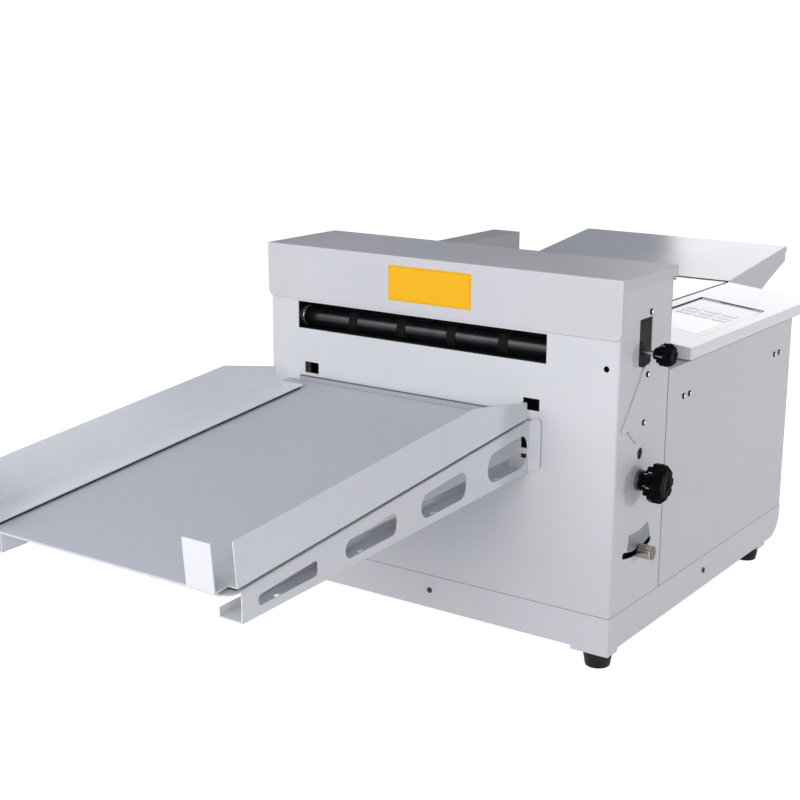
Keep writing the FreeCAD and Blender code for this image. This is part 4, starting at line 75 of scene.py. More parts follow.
# ---------------------------------------------------------------- sizes and colours a user would change
class CoatLook(bpy.types.PropertyGroup):
    """Powder coat of the casing."""
    colour: FloatVectorProperty(name="Coat colour", description="Powder coat of the casing",
                                subtype="COLOR", size=3, min=0, max=1, default=(0.655, 0.66, 0.685))
    tray_colour: FloatVectorProperty(name="Tray colour", description="Powder coat of the trays",
                                     subtype="COLOR", size=3, min=0, max=1, default=(0.60, 0.61, 0.67))
    # The inside colour is painted shade: it darkens the unlit inside of the head.
    inside_shade: FloatVectorProperty(name="Lining colour", description="Dark primer inside the head",
                                subtype="COLOR", size=3, min=0, max=1, default=(0.012, 0.012, 0.013))
    grain: FloatProperty(name="Grain", description="Size of the orange peel of the coat",
                         unit="LENGTH", min=0.0002, max=0.01, default=0.0014)
    roughness: FloatProperty(name="Roughness", description="Roughness of the coat",
                             min=0.05, max=1.0, default=0.45)
    table_roughness: FloatProperty(name="Table roughness", description="Roughness of the glossier table",
                                   min=0.05, max=1.0, default=0.16)
    table_colour: FloatVectorProperty(name="Table colour", description="Glossier coat of the table",
                                      subtype="COLOR", size=3, min=0, max=1, default=(0.76, 0.765, 0.785))
    fold_radius: FloatProperty(name="Fold radius", description="Radius shown along the sheet's edges",
                               unit="LENGTH", min=0.0, max=0.004, default=0.0009)


class KnobShape(bpy.types.PropertyGroup):
    """Moulded knobs on the right side."""
    colour: FloatVectorProperty(name="Knob colour", description="Moulded plastic of the knobs",
                                subtype="COLOR", size=3, min=0, max=1, default=(0.003, 0.0033, 0.0036))
    wheel_lobes: IntProperty(name="Wheel lobes", description="Finger lobes of the hand wheel",
                             min=3, max=16, default=8)
    tool_lobes: IntProperty(name="Tool knob lobes", description="Finger lobes of the tool knob",
                            min=3, max=12, default=6)
    lobe_depth: FloatProperty(name="Lobe depth", description="Depth of the hollows as a share of the radius",
                              min=0.0, max=0.5, default=0.24)


class ScrewShape(bpy.types.PropertyGroup):
    """Pan head screws of the casing."""
    # The dark rim is painted shade round the head.
    rim: FloatProperty(name="Dark rim", description="Where the dark rim of a head starts, as a share of it",
                       min=0.3, max=1.0, default=0.62)
    cross: FloatProperty(name="Cross", description="Half length of the cross recess as a share of the head",
                         min=0.1, max=0.9, default=0.24)
    steps: IntProperty(name="Steps", description="Facets round a head", min=8, max=64, default=28)


class StageLook(bpy.types.PropertyGroup):
    """Lamps, background and camera; places are measured from the floor below the front panel."""
    key: FloatProperty(name="Key lamp", description="Power of the round lamp beside the camera",
                       unit="POWER", min=0, max=500, default=8.0)
    key_place: FloatVectorProperty(name="Key place", description="Place of the key lamp",
                                   subtype="TRANSLATION", unit="LENGTH", size=3, default=(0.93, -1.68, 0.80))
    front: FloatProperty(name="Front lamp", description="Power of the round lamp facing the front panel",
                         unit="POWER", min=0, max=500, default=19.5)
    front_place: FloatVectorProperty(name="Front place", description="Place of the front lamp",
                                     subtype="TRANSLATION", unit="LENGTH", size=3,
                                     default=(0.20, -2.60, 1.00))
    fill: FloatProperty(name="Fill lamp", description="Power of the broad lamp at the left and in front",
                        unit="POWER", min=0, max=500, default=25.5)
    fill_place: FloatVectorProperty(name="Fill place", description="Place of the fill lamp",
                                    subtype="TRANSLATION", unit="LENGTH", size=3,
                                    default=(-1.45, -2.50, 1.60))
    side: FloatProperty(name="Side lamp", description="Power of the small lamp at the right and behind",
                        unit="POWER", min=0, max=500, default=6.8)
    side_place: FloatVectorProperty(name="Side place", description="Place of the side lamp",
                                    subtype="TRANSLATION", unit="LENGTH", size=3, default=(1.80, 0.92, 0.44))
    card: FloatProperty(name="Card", description="Power of the lit card behind, which the table reflects",
                        unit="POWER", min=0, max=500, default=10.0)
    card_place: FloatVectorProperty(name="Card place", description="Place of the lit card",
                                    subtype="TRANSLATION", unit="LENGTH", size=3, default=(-0.52, 3.4, 1.4))
    ambient: FloatProperty(name="Ambient", description="Strength of the even light from all round",
                           min=0, max=2, default=0.36)
    ambient_tint: FloatVectorProperty(name="Ambient tint", description="Colour of the even light",
                                      subtype="COLOR", size=3, min=0, max=1, default=(0.86, 0.90, 1.0))
    lens: FloatProperty(name="Lens", description="Focal length", unit="CAMERA", min=10, max=200,
                        default=67.081)
    eye: FloatVectorProperty(name="Camera place", description="Place of the camera", subtype="TRANSLATION",
                             unit="LENGTH", size=3, default=(0.953456, -1.434959, 0.719460))
    sight: FloatVectorProperty(name="Line of sight", description="Where the camera looks",
                               subtype="DIRECTION", size=3, default=(-0.55435, 0.79597, -0.24318))
    roll: FloatProperty(name="Roll", description="Turn of the camera about its line of sight",
                        subtype="ANGLE", default=0.00552922)


# ---------------------------------------------------------------- shader maths
class Value:
    """An output socket that can be used in plain arithmetic."""

    def __init__(self, finish, socket):
        self.finish = finish
        self.socket = socket

    def maths(self, operation, *values):
        return self.finish.add("ShaderNodeMath", {"operation": operation}, dict(enumerate(values)))

    def __add__(self, other):
        return self.maths("ADD", self, other)

    def __radd__(self, other):
        return self.maths("ADD", other, self)

    def __sub__(self, other):
        return self.maths("SUBTRACT", self, other)

    def __rsub__(self, other):
        return self.maths("SUBTRACT", other, self)

    def __mul__(self, other):
        return self.maths("MULTIPLY", self, other)

    def __rmul__(self, other):
        return self.maths("MULTIPLY", other, self)

    def __truediv__(self, other):
        return self.maths("DIVIDE", self, other)

    def __rtruediv__(self, other):
        return self.maths("DIVIDE", other, self)

    def __gt__(self, other):
        return self.maths("GREATER_THAN", self, other)

    def __lt__(self, other):
        return self.maths("LESS_THAN", self, other)

    def call(self, operation, *values):
        return self.maths(operation, self, *values)


class Backdrop:
    """A tree of shader nodes being built."""

    def __init__(self, tree):
        self.tree = tree
        self.tree.nodes.clear()

    def add(self, kind, settings=None, sockets=None, out=0):
        """Adds any node: its settings first, then values or links for its sockets."""
        node = self.tree.nodes.new(kind)
        for key, value in (settings or {}).items():
            if key == "stops":
                ramp = node.color_ramp
                while len(ramp.elements) < len(value):
                    ramp.elements.new(0.5)
                for element, (position, colour) in zip(ramp.elements, value):
                    element.position = position
                    element.color = colour
            else:
                setattr(node, key, value)
        for key, value in (sockets or {}).items():
            if isinstance(value, Value):
                self.tree.links.new(value.socket, node.inputs[key])
            else:
                node.inputs[key].default_value = value
        return None if out is None else Value(self, node.outputs[out])

    def mix(self, factor, first, second):
        """Blends two colours."""
        wide = [(*c, 1.0) if isinstance(c, tuple) and len(c) == 3 else c for c in (first, second)]
        return self.add("ShaderNodeMix", {"data_type": "RGBA"}, {0: factor, 6: wide[0], 7: wide[1]}, out=2)

    def background(self, colour):
        """Ends a world's tree: the colour is all it shows."""
        shown = self.add("ShaderNodeBackground", None, {"Color": colour})
        self.add("ShaderNodeOutputWorld", None, {"Surface": shown}, out=None)


class Finish(Backdrop):
    """A material being built: its nodes, its pattern space and its surface shader."""

    def __init__(self, name, **surface):
        self.material = bpy.data.materials.new(name)
        self.material.use_nodes = True
        super().__init__(self.material.node_tree)
        surface_value = self.add("ShaderNodeBsdfPrincipled")
        self.shader = surface_value.socket.node
        self.add("ShaderNodeOutputMaterial", None, {"Surface": surface_value}, out=None)
        for socket, value in surface.items():
            self.set(socket.replace("_", " "), value)
        self.place = self.add("ShaderNodeTexCoord", out="Object")

    def set(self, socket, value):
        """Gives the surface shader a plain value or something that varies."""
        if isinstance(value, Value):
            self.tree.links.new(value.socket, self.shader.inputs[socket])
        else:
            target = self.shader.inputs[socket]
            if target.type == "RGBA" and len(value) == 3:
                value = (*value, 1.0)
            target.default_value = value

    def stretched(self, scale):
        """The pattern space with its own scale along each axis."""
        return self.add("ShaderNodeMapping", None, {"Vector": self.place, "Scale": scale})

    def noise(self, scale, detail=2.0, rough=0.5, at=None):
        return self.add("ShaderNodeTexNoise", None, {"Vector": at or self.place, "Scale": scale,
                                                     "Detail": detail, "Roughness": rough})

    def spread(self, value, low, high):
        """Maps a noise value onto a range."""
        return self.add("ShaderNodeMapRange", None, {"Value": value, "From Min": 0.3, "From Max": 0.7,
                                                     "To Min": low, "To Max": high})

    def parts(self, vector):
        """Splits a vector into its three numbers."""
        first = self.add("ShaderNodeSeparateXYZ", None, {"Vector": vector})
        return [Value(self, first.socket.node.outputs[i]) for i in range(3)]

    def axes(self):
        return self.parts(self.place)

    def bump(self, height, strength, distance, radius=0.0):
        """Relief on top of softened edges."""
        sockets = {"Height": height, "Strength": strength, "Distance": distance}
        if radius > 0:
            sockets["Normal"] = self.add("ShaderNodeBevel", {"samples": 6}, {"Radius": radius})
        self.set("Normal", self.add("ShaderNodeBump", None, sockets))


def shade(colour, factor):
    return tuple(min(1.0, c * factor) for c in colour)


def coat_tone(f, colour, look, mottle=0.02):
    """Sprayed coat with faint clouds and darker specks; returns its colour, clouds and orange peel."""
    clouds = f.noise(9.0, 3.0)
    speck = f.noise(1.0 / (look.grain * 0.55), 1.0)
    peel = f.noise(1.0 / look.grain, 2.0)
    tone = f.mix(f.spread(clouds, 0.0, 1.0), shade(colour, 1 - mottle), shade(colour, 1 + mottle))
    return f.mix(f.spread(speck, 0.0, 0.35), tone, shade(colour, 0.94)), clouds, peel


def powder_coat(name, colour, look, seam=None, shaded_inside=None, joint=None):
    """Sprayed coat with brighter folds; a shell gets painted shadows along its seams, and its inside is
    painted near-black as shade.
    """
    f = Finish(name, IOR=1.5, Specular_IOR_Level=0.3)
    tone, clouds, peel = coat_tone(f, colour, look)
    x, y, z = f.axes()
    if seam is not None:
        tone = f.mix((z < seam + 0.9 * MM) * 0.75, tone, shade(colour, SEAM_SHADE))
    if joint is not None:
        half_joint = 1.1 * MM
        near = (y - joint).call("ABSOLUTE") < half_joint
        tone = f.mix(near * 0.85, tone, shade(colour, SEAM_SHADE))
    if shaded_inside is not None:
        low, high = shaded_inside
        # Painted shade: the inside of the shell is made near-black.
        skin = 1.0 * MM
        inside = (y > low.y + skin) * (y < high.y - skin) * (x > low.x + skin) * (x < high.x - skin)
        tone = f.mix(inside, tone, tuple(look.inside_shade))
    f.set("Base Color", tone)
    f.set("Roughness", f.spread(clouds, look.roughness - 0.04, look.roughness + 0.05))
    f.bump(peel, 0.10, COAT_RELIEF, look.fold_radius)
    return f.material


def sand_coat(name, colour, look):
    """Coarse textured coat of the tray: visible grains, light and dark; its upturned end lies in shade."""
    f = Finish(name, IOR=1.5, Specular_IOR_Level=0.3)
    grains = f.add("ShaderNodeTexVoronoi", None, {"Vector": f.place, "Scale": 520.0})
    coarse = f.noise(700.0, 3.0, 0.7)
    clouds = f.noise(7.0, 2.0)
    tone = f.mix(f.spread(coarse, 0.0, 1.0), shade(colour, 0.90), shade(colour, 1.07))
    tone = f.mix(f.spread(clouds, 0.0, 0.3), tone, shade(colour, 0.95))
    y, z = f.axes()[1:]
    flange, top_band = 5.5 * MM, 1.4 * MM
    upturned = y > SHELL_LOW.y - flange
    top_edge = upturned * (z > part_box("delivery_tray")[1].z - top_band)
    # The upturned end is painted darker as shade, and a band along its top darker still.
    tone = f.mix(upturned, tone, shade(colour, 0.66))
    tone = f.mix(top_edge, tone, shade(colour, 0.20))
    f.set("Base Color", tone)
    f.set("Roughness", f.spread(coarse, look.roughness, look.roughness + 0.14))
    f.bump(grains + coarse, 0.20, 0.0003, look.fold_radius)
    return f.material


def satin_coat(name, colour, look):
    """Smoother, glossier coat of the table, with a soft ripple; the walls of the panel's opening are painted
    near-black as shade.
    """
    f = Finish(name, IOR=1.5)
    tone, clouds, peel = coat_tone(f, colour, look, 0.015)
    x, y = f.axes()[:2]
    table_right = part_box("table_top")[1].x
    panel_low, panel_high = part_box("control_panel")
    left = table_right - CONSOLE_WIDTH + PANEL_LEFT - PANEL_GROOVE
    right = table_right - PANEL_RIGHT + PANEL_GROOVE
    front, back = panel_low.y + PANEL_UNDER - PANEL_GROOVE, panel_high.y - PANEL_UNDER + PANEL_GROOVE
    skin = 0.3 * MM
    opening_shade = (x > left - skin) * (x < right + skin) * (y > front - skin) * (y < back + skin)
    # Painted shade: the walls of the opening are near-black.
    tone = f.mix(opening_shade * 0.93, tone, (0.035, 0.036, 0.04))
    f.set("Base Color", tone)
    f.set("Roughness", f.spread(clouds, look.table_roughness - 0.02, look.table_roughness + 0.04))
    f.bump(peel, 0.05, COAT_RELIEF, look.fold_radius)
    return f.material


def ground_steel(name, colour, direction, rough, metallic=1.0, index=1.5):
    """Metal ground in one direction, with fine scratches and a few darker patches."""
    f = Finish(name, IOR=index)
    across_grain, along_grain = 2200.0, 35.0
    scale = [across_grain] * 3
    scale[direction] = along_grain
    lines = f.noise(1.0, 2.0, 0.6, f.stretched(tuple(scale)))
    patches = f.noise(22.0, 3.0)
    f.set("Base Color", f.mix(f.spread(patches, 0.0, 1.0), shade(colour, 0.84), shade(colour, 1.06)))
    f.set("Metallic", metallic)
    f.set("Roughness", f.spread(lines, rough - 0.08, rough + 0.12))
    f.bump(lines, 0.16, 0.00008, 0.0004)
    return f.material


def turned_steel(name, colour, rough, metallic=1.0, bright_below=None):
    """Metal turned on a lathe about an X axis: rings along its length, and a bare bright end if asked."""
    f = Finish(name)
    rings = f.noise(1.0, 2.0, 0.7, f.stretched((3200.0, 18.0, 18.0)))
    stain = f.noise(60.0, 3.0)
    tone = f.mix(f.spread(stain, 0.0, 1.0), shade(colour, 0.8), shade(colour, 1.1))
    if bright_below is not None:
        tone = f.mix(f.axes()[0] < bright_below, tone, (0.92, 0.92, 0.93))
    f.set("Base Color", tone)
    f.set("Metallic", metallic)
    f.set("Roughness", f.spread(rings, rough - 0.04, rough + 0.05))
    f.bump(rings, 0.06, 0.00005, 0.0003)
    return f.material


def drawn_nickel(name, face_at):
    """Warm nickel plate over bar stock: streaks along X that are partly grain and partly painted reflection,
    and an end face painted darker as shade.
    """
    f = Finish(name, Metallic=0.9)
    streaks_and_sheen = f.noise(1.0, 2.0, 0.5, f.stretched((14.0, 260.0, 260.0)))
    face = f.axes()[0] > face_at - 0.5 * MM
    # The light and dark streaks are partly drawn grain and partly painted reflection; the end face is
    # painted darker as shade.
    side = f.mix(f.spread(streaks_and_sheen, 0.0, 1.0), (0.30, 0.235, 0.195), (0.86, 0.77, 0.70))
    face_shade = f.mix(f.spread(f.noise(260.0, 2.0), 0.0, 1.0), (0.07, 0.06, 0.056), (0.15, 0.13, 0.12))
    f.set("Base Color", f.mix(face, side, face_shade))
    f.set("Roughness", f.spread(streaks_and_sheen, 0.16, 0.26))
    f.bump(streaks_and_sheen, 0.05, 0.00005, 0.0003)
    return f.material


def moulded(name, colour, rough, grain=900.0, relief=0.08, specular=0.5):
    """Moulded plastic or rubber with a fine spark-eroded grain."""
    f = Finish(name, IOR=1.48, Specular_IOR_Level=specular)
    texture = f.noise(grain, 2.0)
    bloom = f.noise(45.0, 3.0)
    f.set("Base Color", f.mix(f.spread(bloom, 0.0, 1.0), colour, shade(colour, 1.7)))
    f.set("Roughness", f.spread(bloom, rough - 0.06, rough + 0.08))
    f.bump(texture, relief, 0.1 * MM, 0.5 * MM)
    return f.material


def screw_steel(name, shape):
    """Bright pan head with painted shade: a near-black rim round it and a near-black cross recess; the
    head's own map gives the place.
    """
    f = Finish(name, Specular_IOR_Level=0.1)
    across, up = f.parts(f.add("ShaderNodeUVMap", {"uv_map": "head"}))[:2]
    radius = (across * across + up * up).call("SQRT")
    a, b = across.call("ABSOLUTE"), up.call("ABSOLUTE")
    arm = 0.11
    cross = ((a < arm) * (b < shape.cross) + (b < arm) * (a < shape.cross)).call("MINIMUM", 1.0)
    # Painted shade: the rim of the head and the cross recess are near-black.
    dark = (cross + (radius > shape.rim)).call("MINIMUM", 1.0)
    wear = f.noise(900.0, 2.0)
    f.set("Base Color", f.mix(dark, (0.80, 0.80, 0.81), (0.012, 0.012, 0.014)))
    f.set("Metallic", 1.0 - dark)
    f.set("Roughness", f.spread(wear, 0.22, 0.38))
    f.bump(1.0 - cross, 0.6, 0.0003)
    return f.material


def toothed_rubber(name):
    """Belt with ribs across its run."""
    f = Finish(name)
    y, z = f.axes()[1:]
    ribs = ((y + z) * 2200.0).call("SINE")
    f.set("Base Color", f.mix(f.spread(f.noise(300.0), 0.0, 1.0), (0.012, 0.012, 0.012), (0.04, 0.04, 0.04)))
    f.set("Roughness", f.spread(f.noise(300.0), 0.6, 0.8))
    f.bump(ribs, 0.4, 0.0004)
    return f.material


def banded_rubber(name, colour):
    """Ground rubber of the tyres and feed wheels: matt, with faint rings and paper dust."""
    f = Finish(name, Specular_IOR_Level=0.06)
    dust = f.noise(220.0, 4.0, 0.7)
    rings = f.noise(1.0, 1.0, 0.5, f.stretched((1500.0, 40.0, 40.0)))
    f.set("Base Color", f.mix(f.spread(dust, 0.0, 1.0), shade(colour, 0.75), shade(colour, 1.15)))
    f.set("Roughness", f.spread(dust, 0.65, 0.9))
    f.bump(rings, 0.2, 0.0001, 0.0004)
    return f.material


def strip_rubber(name):
    """Dead matt dark grey strip, painted shade in the gaps, with paper dust."""
    f = Finish(name, IOR=1.05)
    dust = f.noise(500.0, 3.0)
    f.set("Base Color", f.mix(f.spread(dust, 0.0, 1.0), (0.05, 0.05, 0.053), (0.09, 0.09, 0.095)))
    f.set("Roughness", f.spread(dust, 0.8, 0.95))
    f.bump(dust, 0.2, 0.0001)
    return f.material


def blank_film(name, low, high):
    """Amber film with a thin darker border and no print."""
    f = Finish(name, Specular_IOR_Level=0.15)
    x, z = f.axes()[::2]
    half_x, half_z = (high.x - low.x) / 2, (high.z - low.z) / 2
    from_edge_x = half_x - (x - (low.x + half_x)).call("ABSOLUTE")
    from_edge_z = half_z - (z - (low.z + half_z)).call("ABSOLUTE")
    edge = from_edge_x.call("MINIMUM", from_edge_z)
    border_from, border_to = 1.2 * MM, 1.9 * MM
    line = (edge > border_from) * (edge < border_to)
    fibre = f.noise(800.0, 2.0)
    tone = f.mix(f.spread(fibre, 0.0, 1.0), (0.88, 0.46, 0.010), (0.94, 0.50, 0.016))
    f.set("Base Color", f.mix(line, tone, (0.62, 0.31, 0.012)))
    f.set("Roughness", f.spread(fibre, 0.32, 0.42))
    f.bump(fibre, 0.05, 0.00005)
    return f.material


def graduated_plate(name, centre, first, last, count):
    """Anodised sector plate: engraved marks that point at the lever's pivot."""
    f = Finish(name)
    y, z = f.axes()[1:]
    marks_from = 100.5 * MM
    angle = (y - centre.y).call("ARCTAN2", centre.z - z)
    radius = ((y - centre.y) * (y - centre.y) + (z - centre.z) * (z - centre.z)).call("SQRT")
    step = math.radians(last - first) / count
    phase = ((angle - math.radians(first)) / step).call("FRACT")
    mark = (phase > 0.40) * (phase < 0.60) * (radius > marks_from)
    clouds = f.noise(120.0, 2.0)
    tone = f.mix(f.spread(clouds, 0.0, 1.0), (0.205, 0.215, 0.265), (0.24, 0.25, 0.30))
    f.set("Base Color", f.mix(mark, tone, (0.06, 0.06, 0.08)))
    f.set("Roughness", f.spread(clouds, 0.38, 0.48))
    f.set("Metallic", 0.2)
    f.bump(1.0 - mark, 0.3, 0.0001, 0.0002)
    return f.material


def circuit_board(name):
    """Green lacquer with copper tracks."""
    f = Finish(name, Coat_Weight=0.4)
    tracks = ((f.axes()[0] * 700.0).call("SINE") > 0.7) * (f.noise(30.0) > 0.52)
    f.set("Base Color", f.mix(tracks, (0.01, 0.09, 0.035), (0.04, 0.2, 0.08)))
    f.set("Roughness", f.spread(f.noise(200.0), 0.3, 0.45))
    return f.material


def panel_film(name):
    """Matt membrane of the operating panel."""
    f = Finish(name)
    texture = f.noise(1500.0, 2.0)
    clouds = f.noise(25.0, 2.0)
    f.set("Base Color", f.mix(f.spread(clouds, 0.0, 1.0), (0.80, 0.805, 0.82), (0.84, 0.845, 0.86)))
    f.set("Roughness", f.spread(texture, 0.14, 0.20))
    f.bump(texture, 0.04, 0.00005, 0.0004)
    return f.material


def display_window(name):
    """Pale glossy window of the display, a little darker over its active area."""
    f = Finish(name, Coat_Weight=0.3, Coat_Roughness=0.08)
    smear = f.noise(35.0, 3.0)
    low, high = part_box("touch_screen")
    x, y = f.axes()[:2]
    margin = 5 * MM
    active = (x > low.x + margin) * (x < high.x - margin) * (y > low.y + margin) * (y < high.y - margin)
    tone = f.mix(f.spread(smear, 0.0, 1.0), (0.70, 0.71, 0.73), (0.75, 0.76, 0.78))
    f.set("Base Color", f.mix(active, tone, (0.62, 0.66, 0.69)))
    f.set("Roughness", f.spread(smear, 0.08, 0.2))
    return f.material


# ---------------------------------------------------------------- mesh helpers
def finished_piece(name, mesh_source, material, body, smooth, replaced=()):
    """Turns a bmesh into an object of the scene that rides on a body."""
    bmesh.ops.remove_doubles(mesh_source, verts=mesh_source.verts, dist=1e-7)
    bmesh.ops.recalc_face_normals(mesh_source, faces=mesh_source.faces)
    mesh = bpy.data.meshes.new(name)
    mesh_source.to_mesh(mesh)
    mesh_source.free()
    mesh.shade_smooth()
    mesh.set_sharp_from_angle(angle=math.radians(smooth))
    mesh.materials.append(material)
    piece = bpy.data.objects.new(name, mesh)
    bpy.context.scene.collection.objects.link(piece)
    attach(piece, body)
    if replaced:
        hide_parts(*replaced)


def turned(profile, centre, segments):
    """Solid turned about an X axis: the profile lists distances along X and radii."""
    bm = bmesh.new()
    chain = [bm.verts.new((x, 0.0, r)) for x, r in profile]
    for a, b in zip(chain, chain[1:]):
        bm.edges.new((a, b))
    bmesh.ops.spin(bm, geom=bm.verts[:] + bm.edges[:], cent=(0, 0, 0), axis=(1, 0, 0),
                   angle=math.tau, steps=segments, use_merge=True, use_duplicate=False)
    bmesh.ops.remove_doubles(bm, verts=bm.verts, dist=1e-7)
    bmesh.ops.translate(bm, verts=bm.verts, vec=centre)
    return bm


def reshape(bm, centre, start, change):
    """Moves vertices beyond start along X in or out, by a function of angle and place."""
    for v in bm.verts:
        y, z = v.co.y - centre[1], v.co.z - centre[2]
        radius = math.hypot(y, z)
        if v.co.x - centre[0] < start or radius < 1e-6:
            continue
        factor = change(math.atan2(z, y), v.co.x - centre[0], radius)
        v.co.y = centre[1] + y * factor
        v.co.z = centre[2] + z * factor


def dress(node, material):
    """Gives a CAD node one finish."""
    if node not in NODES:
        raise RuntimeError("no node is named " + node)
    mesh = NODES[node].data
    mesh.materials.clear()
    mesh.materials.append(material)


def islands(bm):
    """Groups the vertices of separate solids."""
    left = set(bm.verts)
    groups = []
    while left:
        open_ends = [left.pop()]
        group = list(open_ends)
        while open_ends:
            here = open_ends.pop()
            near = {edge.other_vert(here) for edge in here.link_edges} & left
            left -= near
            group += near
            open_ends += near
        groups.append(group)
    return groups


# ---------------------------------------------------------------- operators
class CREASER_OT_casing_finish(bpy.types.Operator):
    """Coat every folded sheet of the casing, trays and guides"""
    bl_idname = "creaser.casing_finish"
    bl_label = "Casing finish"

    def execute(self, context):
        look = context.scene.creaser_coat
        colour = tuple(look.colour)
        tray = tuple(look.tray_colour)
        seam = SHELL_LOW.z
        inner_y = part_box("head_back")[0].y + 0.7 * MM
        # The factors given to shade() for the parts below are painted light and shade: copies of the one
        # coat made lighter or darker to follow how the light falls on each part.
        coats = {
            powder_coat("head_coat", colour, look, seam, (SHELL_LOW, SHELL_HIGH), SHELL_HIGH.y):
                ["head_shell"],
            powder_coat("shell_coat", shade(colour, 0.97), look, seam, joint=SHELL_HIGH.y): ["rear_shell"],
            powder_coat("cover_coat", shade(colour, 0.92), look): ["head_cover"],
            powder_coat("door_coat", colour, look): ["slot_door"],
            powder_coat("deck_coat", shade(colour, 0.95), look): ["rear_deck", "infeed_brackets"],
            powder_coat("pan_coat", shade(colour, 1.02), look): ["base_pan"],
            powder_coat("rail_coat", shade(colour, 1.03), look): ["rail_left", "rail_right"],
            powder_coat("guide_coat", shade(colour, 1.06), look): ["delivery_guide_right"],
            powder_coat("far_guide_coat", shade(colour, 1.36), look): ["delivery_guide_left"],
            powder_coat("infeed_guide_coat", shade(colour, 0.74), look):
                ["infeed_guide_left", "infeed_guide_right"],
            self.back_coat(colour, look, inner_y): ["head_back"],
            sand_coat("tray_coat", tray, look): ["delivery_tray"],
            satin_coat("table_coat", tuple(look.table_colour), look): ["infeed_tray", "table_top"],
        }
        for material, names in coats.items():
            for name in names:
                dress(name, material)
        return {"FINISHED"}

    def back_coat(self, colour, look, inner_y):
        """Coated towards the table; painted near-black as shade towards the mechanism."""
        f = Finish("back_coat", IOR=1.5, Specular_IOR_Level=0.3)
        tone, clouds, peel = coat_tone(f, colour, look)
        f.set("Base Color", f.mix(f.axes()[1] < inner_y, tone, tuple(look.inside_shade)))
        f.set("Roughness", f.spread(clouds, look.roughness, look.roughness + 0.1))
        f.bump(peel, 0.1, COAT_RELIEF, look.fold_radius)
        return f.material


class CREASER_OT_mechanism_finish(bpy.types.Operator):
    """Give the rollers, shafts, tool, motors and electrics their finishes"""
    bl_idname = "creaser.mechanism_finish"
    bl_label = "Mechanism finish"

    def execute(self, context):
        bare_end = 34 * MM
        roller_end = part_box("exit_roller")[0].x + bare_end
        finishes = {
            ground_steel("frame_blackened", (0.016, 0.0165, 0.018), 2, 0.5, 0.0, 1.1):
                ["side_frame_left", "side_frame_right", "die_bed", "ram_yokes", "blade_beam"],
            ground_steel("tool_ground", (0.34, 0.34, 0.35), 0, 0.25): ["creasing_blade"],
            ground_steel("die_blackened", (0.03, 0.031, 0.034), 0, 0.4, 0.0, 1.15): ["creasing_die"],
            ground_steel("zinc_plate", (0.55, 0.55, 0.53), 1, 0.38): ["cover_hinges"],
            # Near-black: painted shade for the lever seen in its hole.
            ground_steel("lever_blackened", (0.02, 0.0205, 0.022), 2, 0.4, 0.0, 1.1): ["depth_lever"],
            turned_steel("bright_turned", (0.52, 0.52, 0.53), 0.3):
                ["main_shaft", "feed_shaft", "crease_motor_pulley", "transport_motor_pulley", "tool_rod"],
            # Darker steel: painted shade of the hand wheel on the bearing flange.
            turned_steel("bronze_grey", (0.16, 0.155, 0.15), 0.38):
                ["tie_rods", "shaft_bearings"],
            turned_steel("roller_blackened", (0.042, 0.045, 0.048), 0.3, 0.85, roller_end):
                ["exit_roller", "infeed_roller"],
            banded_rubber("tyre_black", (0.012, 0.012, 0.012)):
                ["exit_tyres", "infeed_tyres"],
            banded_rubber("feed_rubber", (0.28, 0.28, 0.27)):
                ["feed_wheels", "separator_pads"],
            moulded("pinch_black", (0.010, 0.0105, 0.011), 0.6, specular=0.06):
                ["exit_pinch_roller", "infeed_pinch_roller"],
            moulded("foot_rubber", (0.006, 0.006, 0.0065), 0.55, 700.0, 0.15, specular=0.2):
                ["rubber_feet"],
            moulded("motor_paint", (0.02, 0.02, 0.022), 0.4):
                ["crease_motor", "transport_motor"],
            moulded("guide_nylon", (0.62, 0.60, 0.55), 0.5):
                ["ram_guides"],
            moulded("socket_plastic", (0.015, 0.015, 0.016), 0.42):
                ["power_inlet", "power_rocker"],
            moulded("strip_magnetic", (0.014, 0.014, 0.015), 0.7, 400.0):
                ["guide_strip_left", "guide_strip_right"],
            toothed_rubber("belt_rubber"): ["transport_belt", "drive_belt"],
            circuit_board("board_lacquer"): ["control_board"],
            moulded("panel_back", (0.03, 0.03, 0.033), 0.5): ["control_panel"],
            blank_film("label_film", *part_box("label_plate")): ["label_plate"],
        }
        for material, names in finishes.items():
            for name in names:
                dress(name, material)
        pivot = next(j for j in frame["record"]["behaviour"]["joints"] if j["name"] == "depth_lever_turn")
        dress("depth_scale", graduated_plate("scale_anodised", Vector(pivot["pos_m"]), -11.0, 18.0, 13))
        return {"FINISHED"}


def knob_plastic(name, colour, lobes, low, high, drum_from, drum_to):
    """Glossy black moulding with painted highlights along the ridges of its drum."""
    f = Finish(name, IOR=1.06)
    x, y, z = f.axes()
    middle_y, middle_z = (low.y + high.y) / 2, (low.z + high.z) / 2
    angle = (z - middle_z).call("ARCTAN2", y - middle_y)
    turn = (angle * (lobes / math.tau) + lobes + 0.5).call("FRACT")
    highlight_gaps = f.noise(260.0, 2.0)
    # Painted highlights: thin light lines on the lobes' crests along the drum, broken by noise.
    ridge_highlight = ((turn - 0.5).call("ABSOLUTE") < 0.04) * (x > drum_from) * (x < drum_to) * (highlight_gaps > 0.36)
    bloom = f.noise(45.0, 3.0)
    tone = f.mix(f.spread(bloom, 0.0, 1.0), colour, shade(colour, 1.6))
    f.set("Base Color", f.mix(ridge_highlight, tone, (0.30, 0.31, 0.30)))
    f.set("Roughness", f.spread(bloom, 0.12, 0.22))
    f.bump(f.noise(1100.0, 2.0), 0.02, 0.0001, 0.0004)
    return f.material


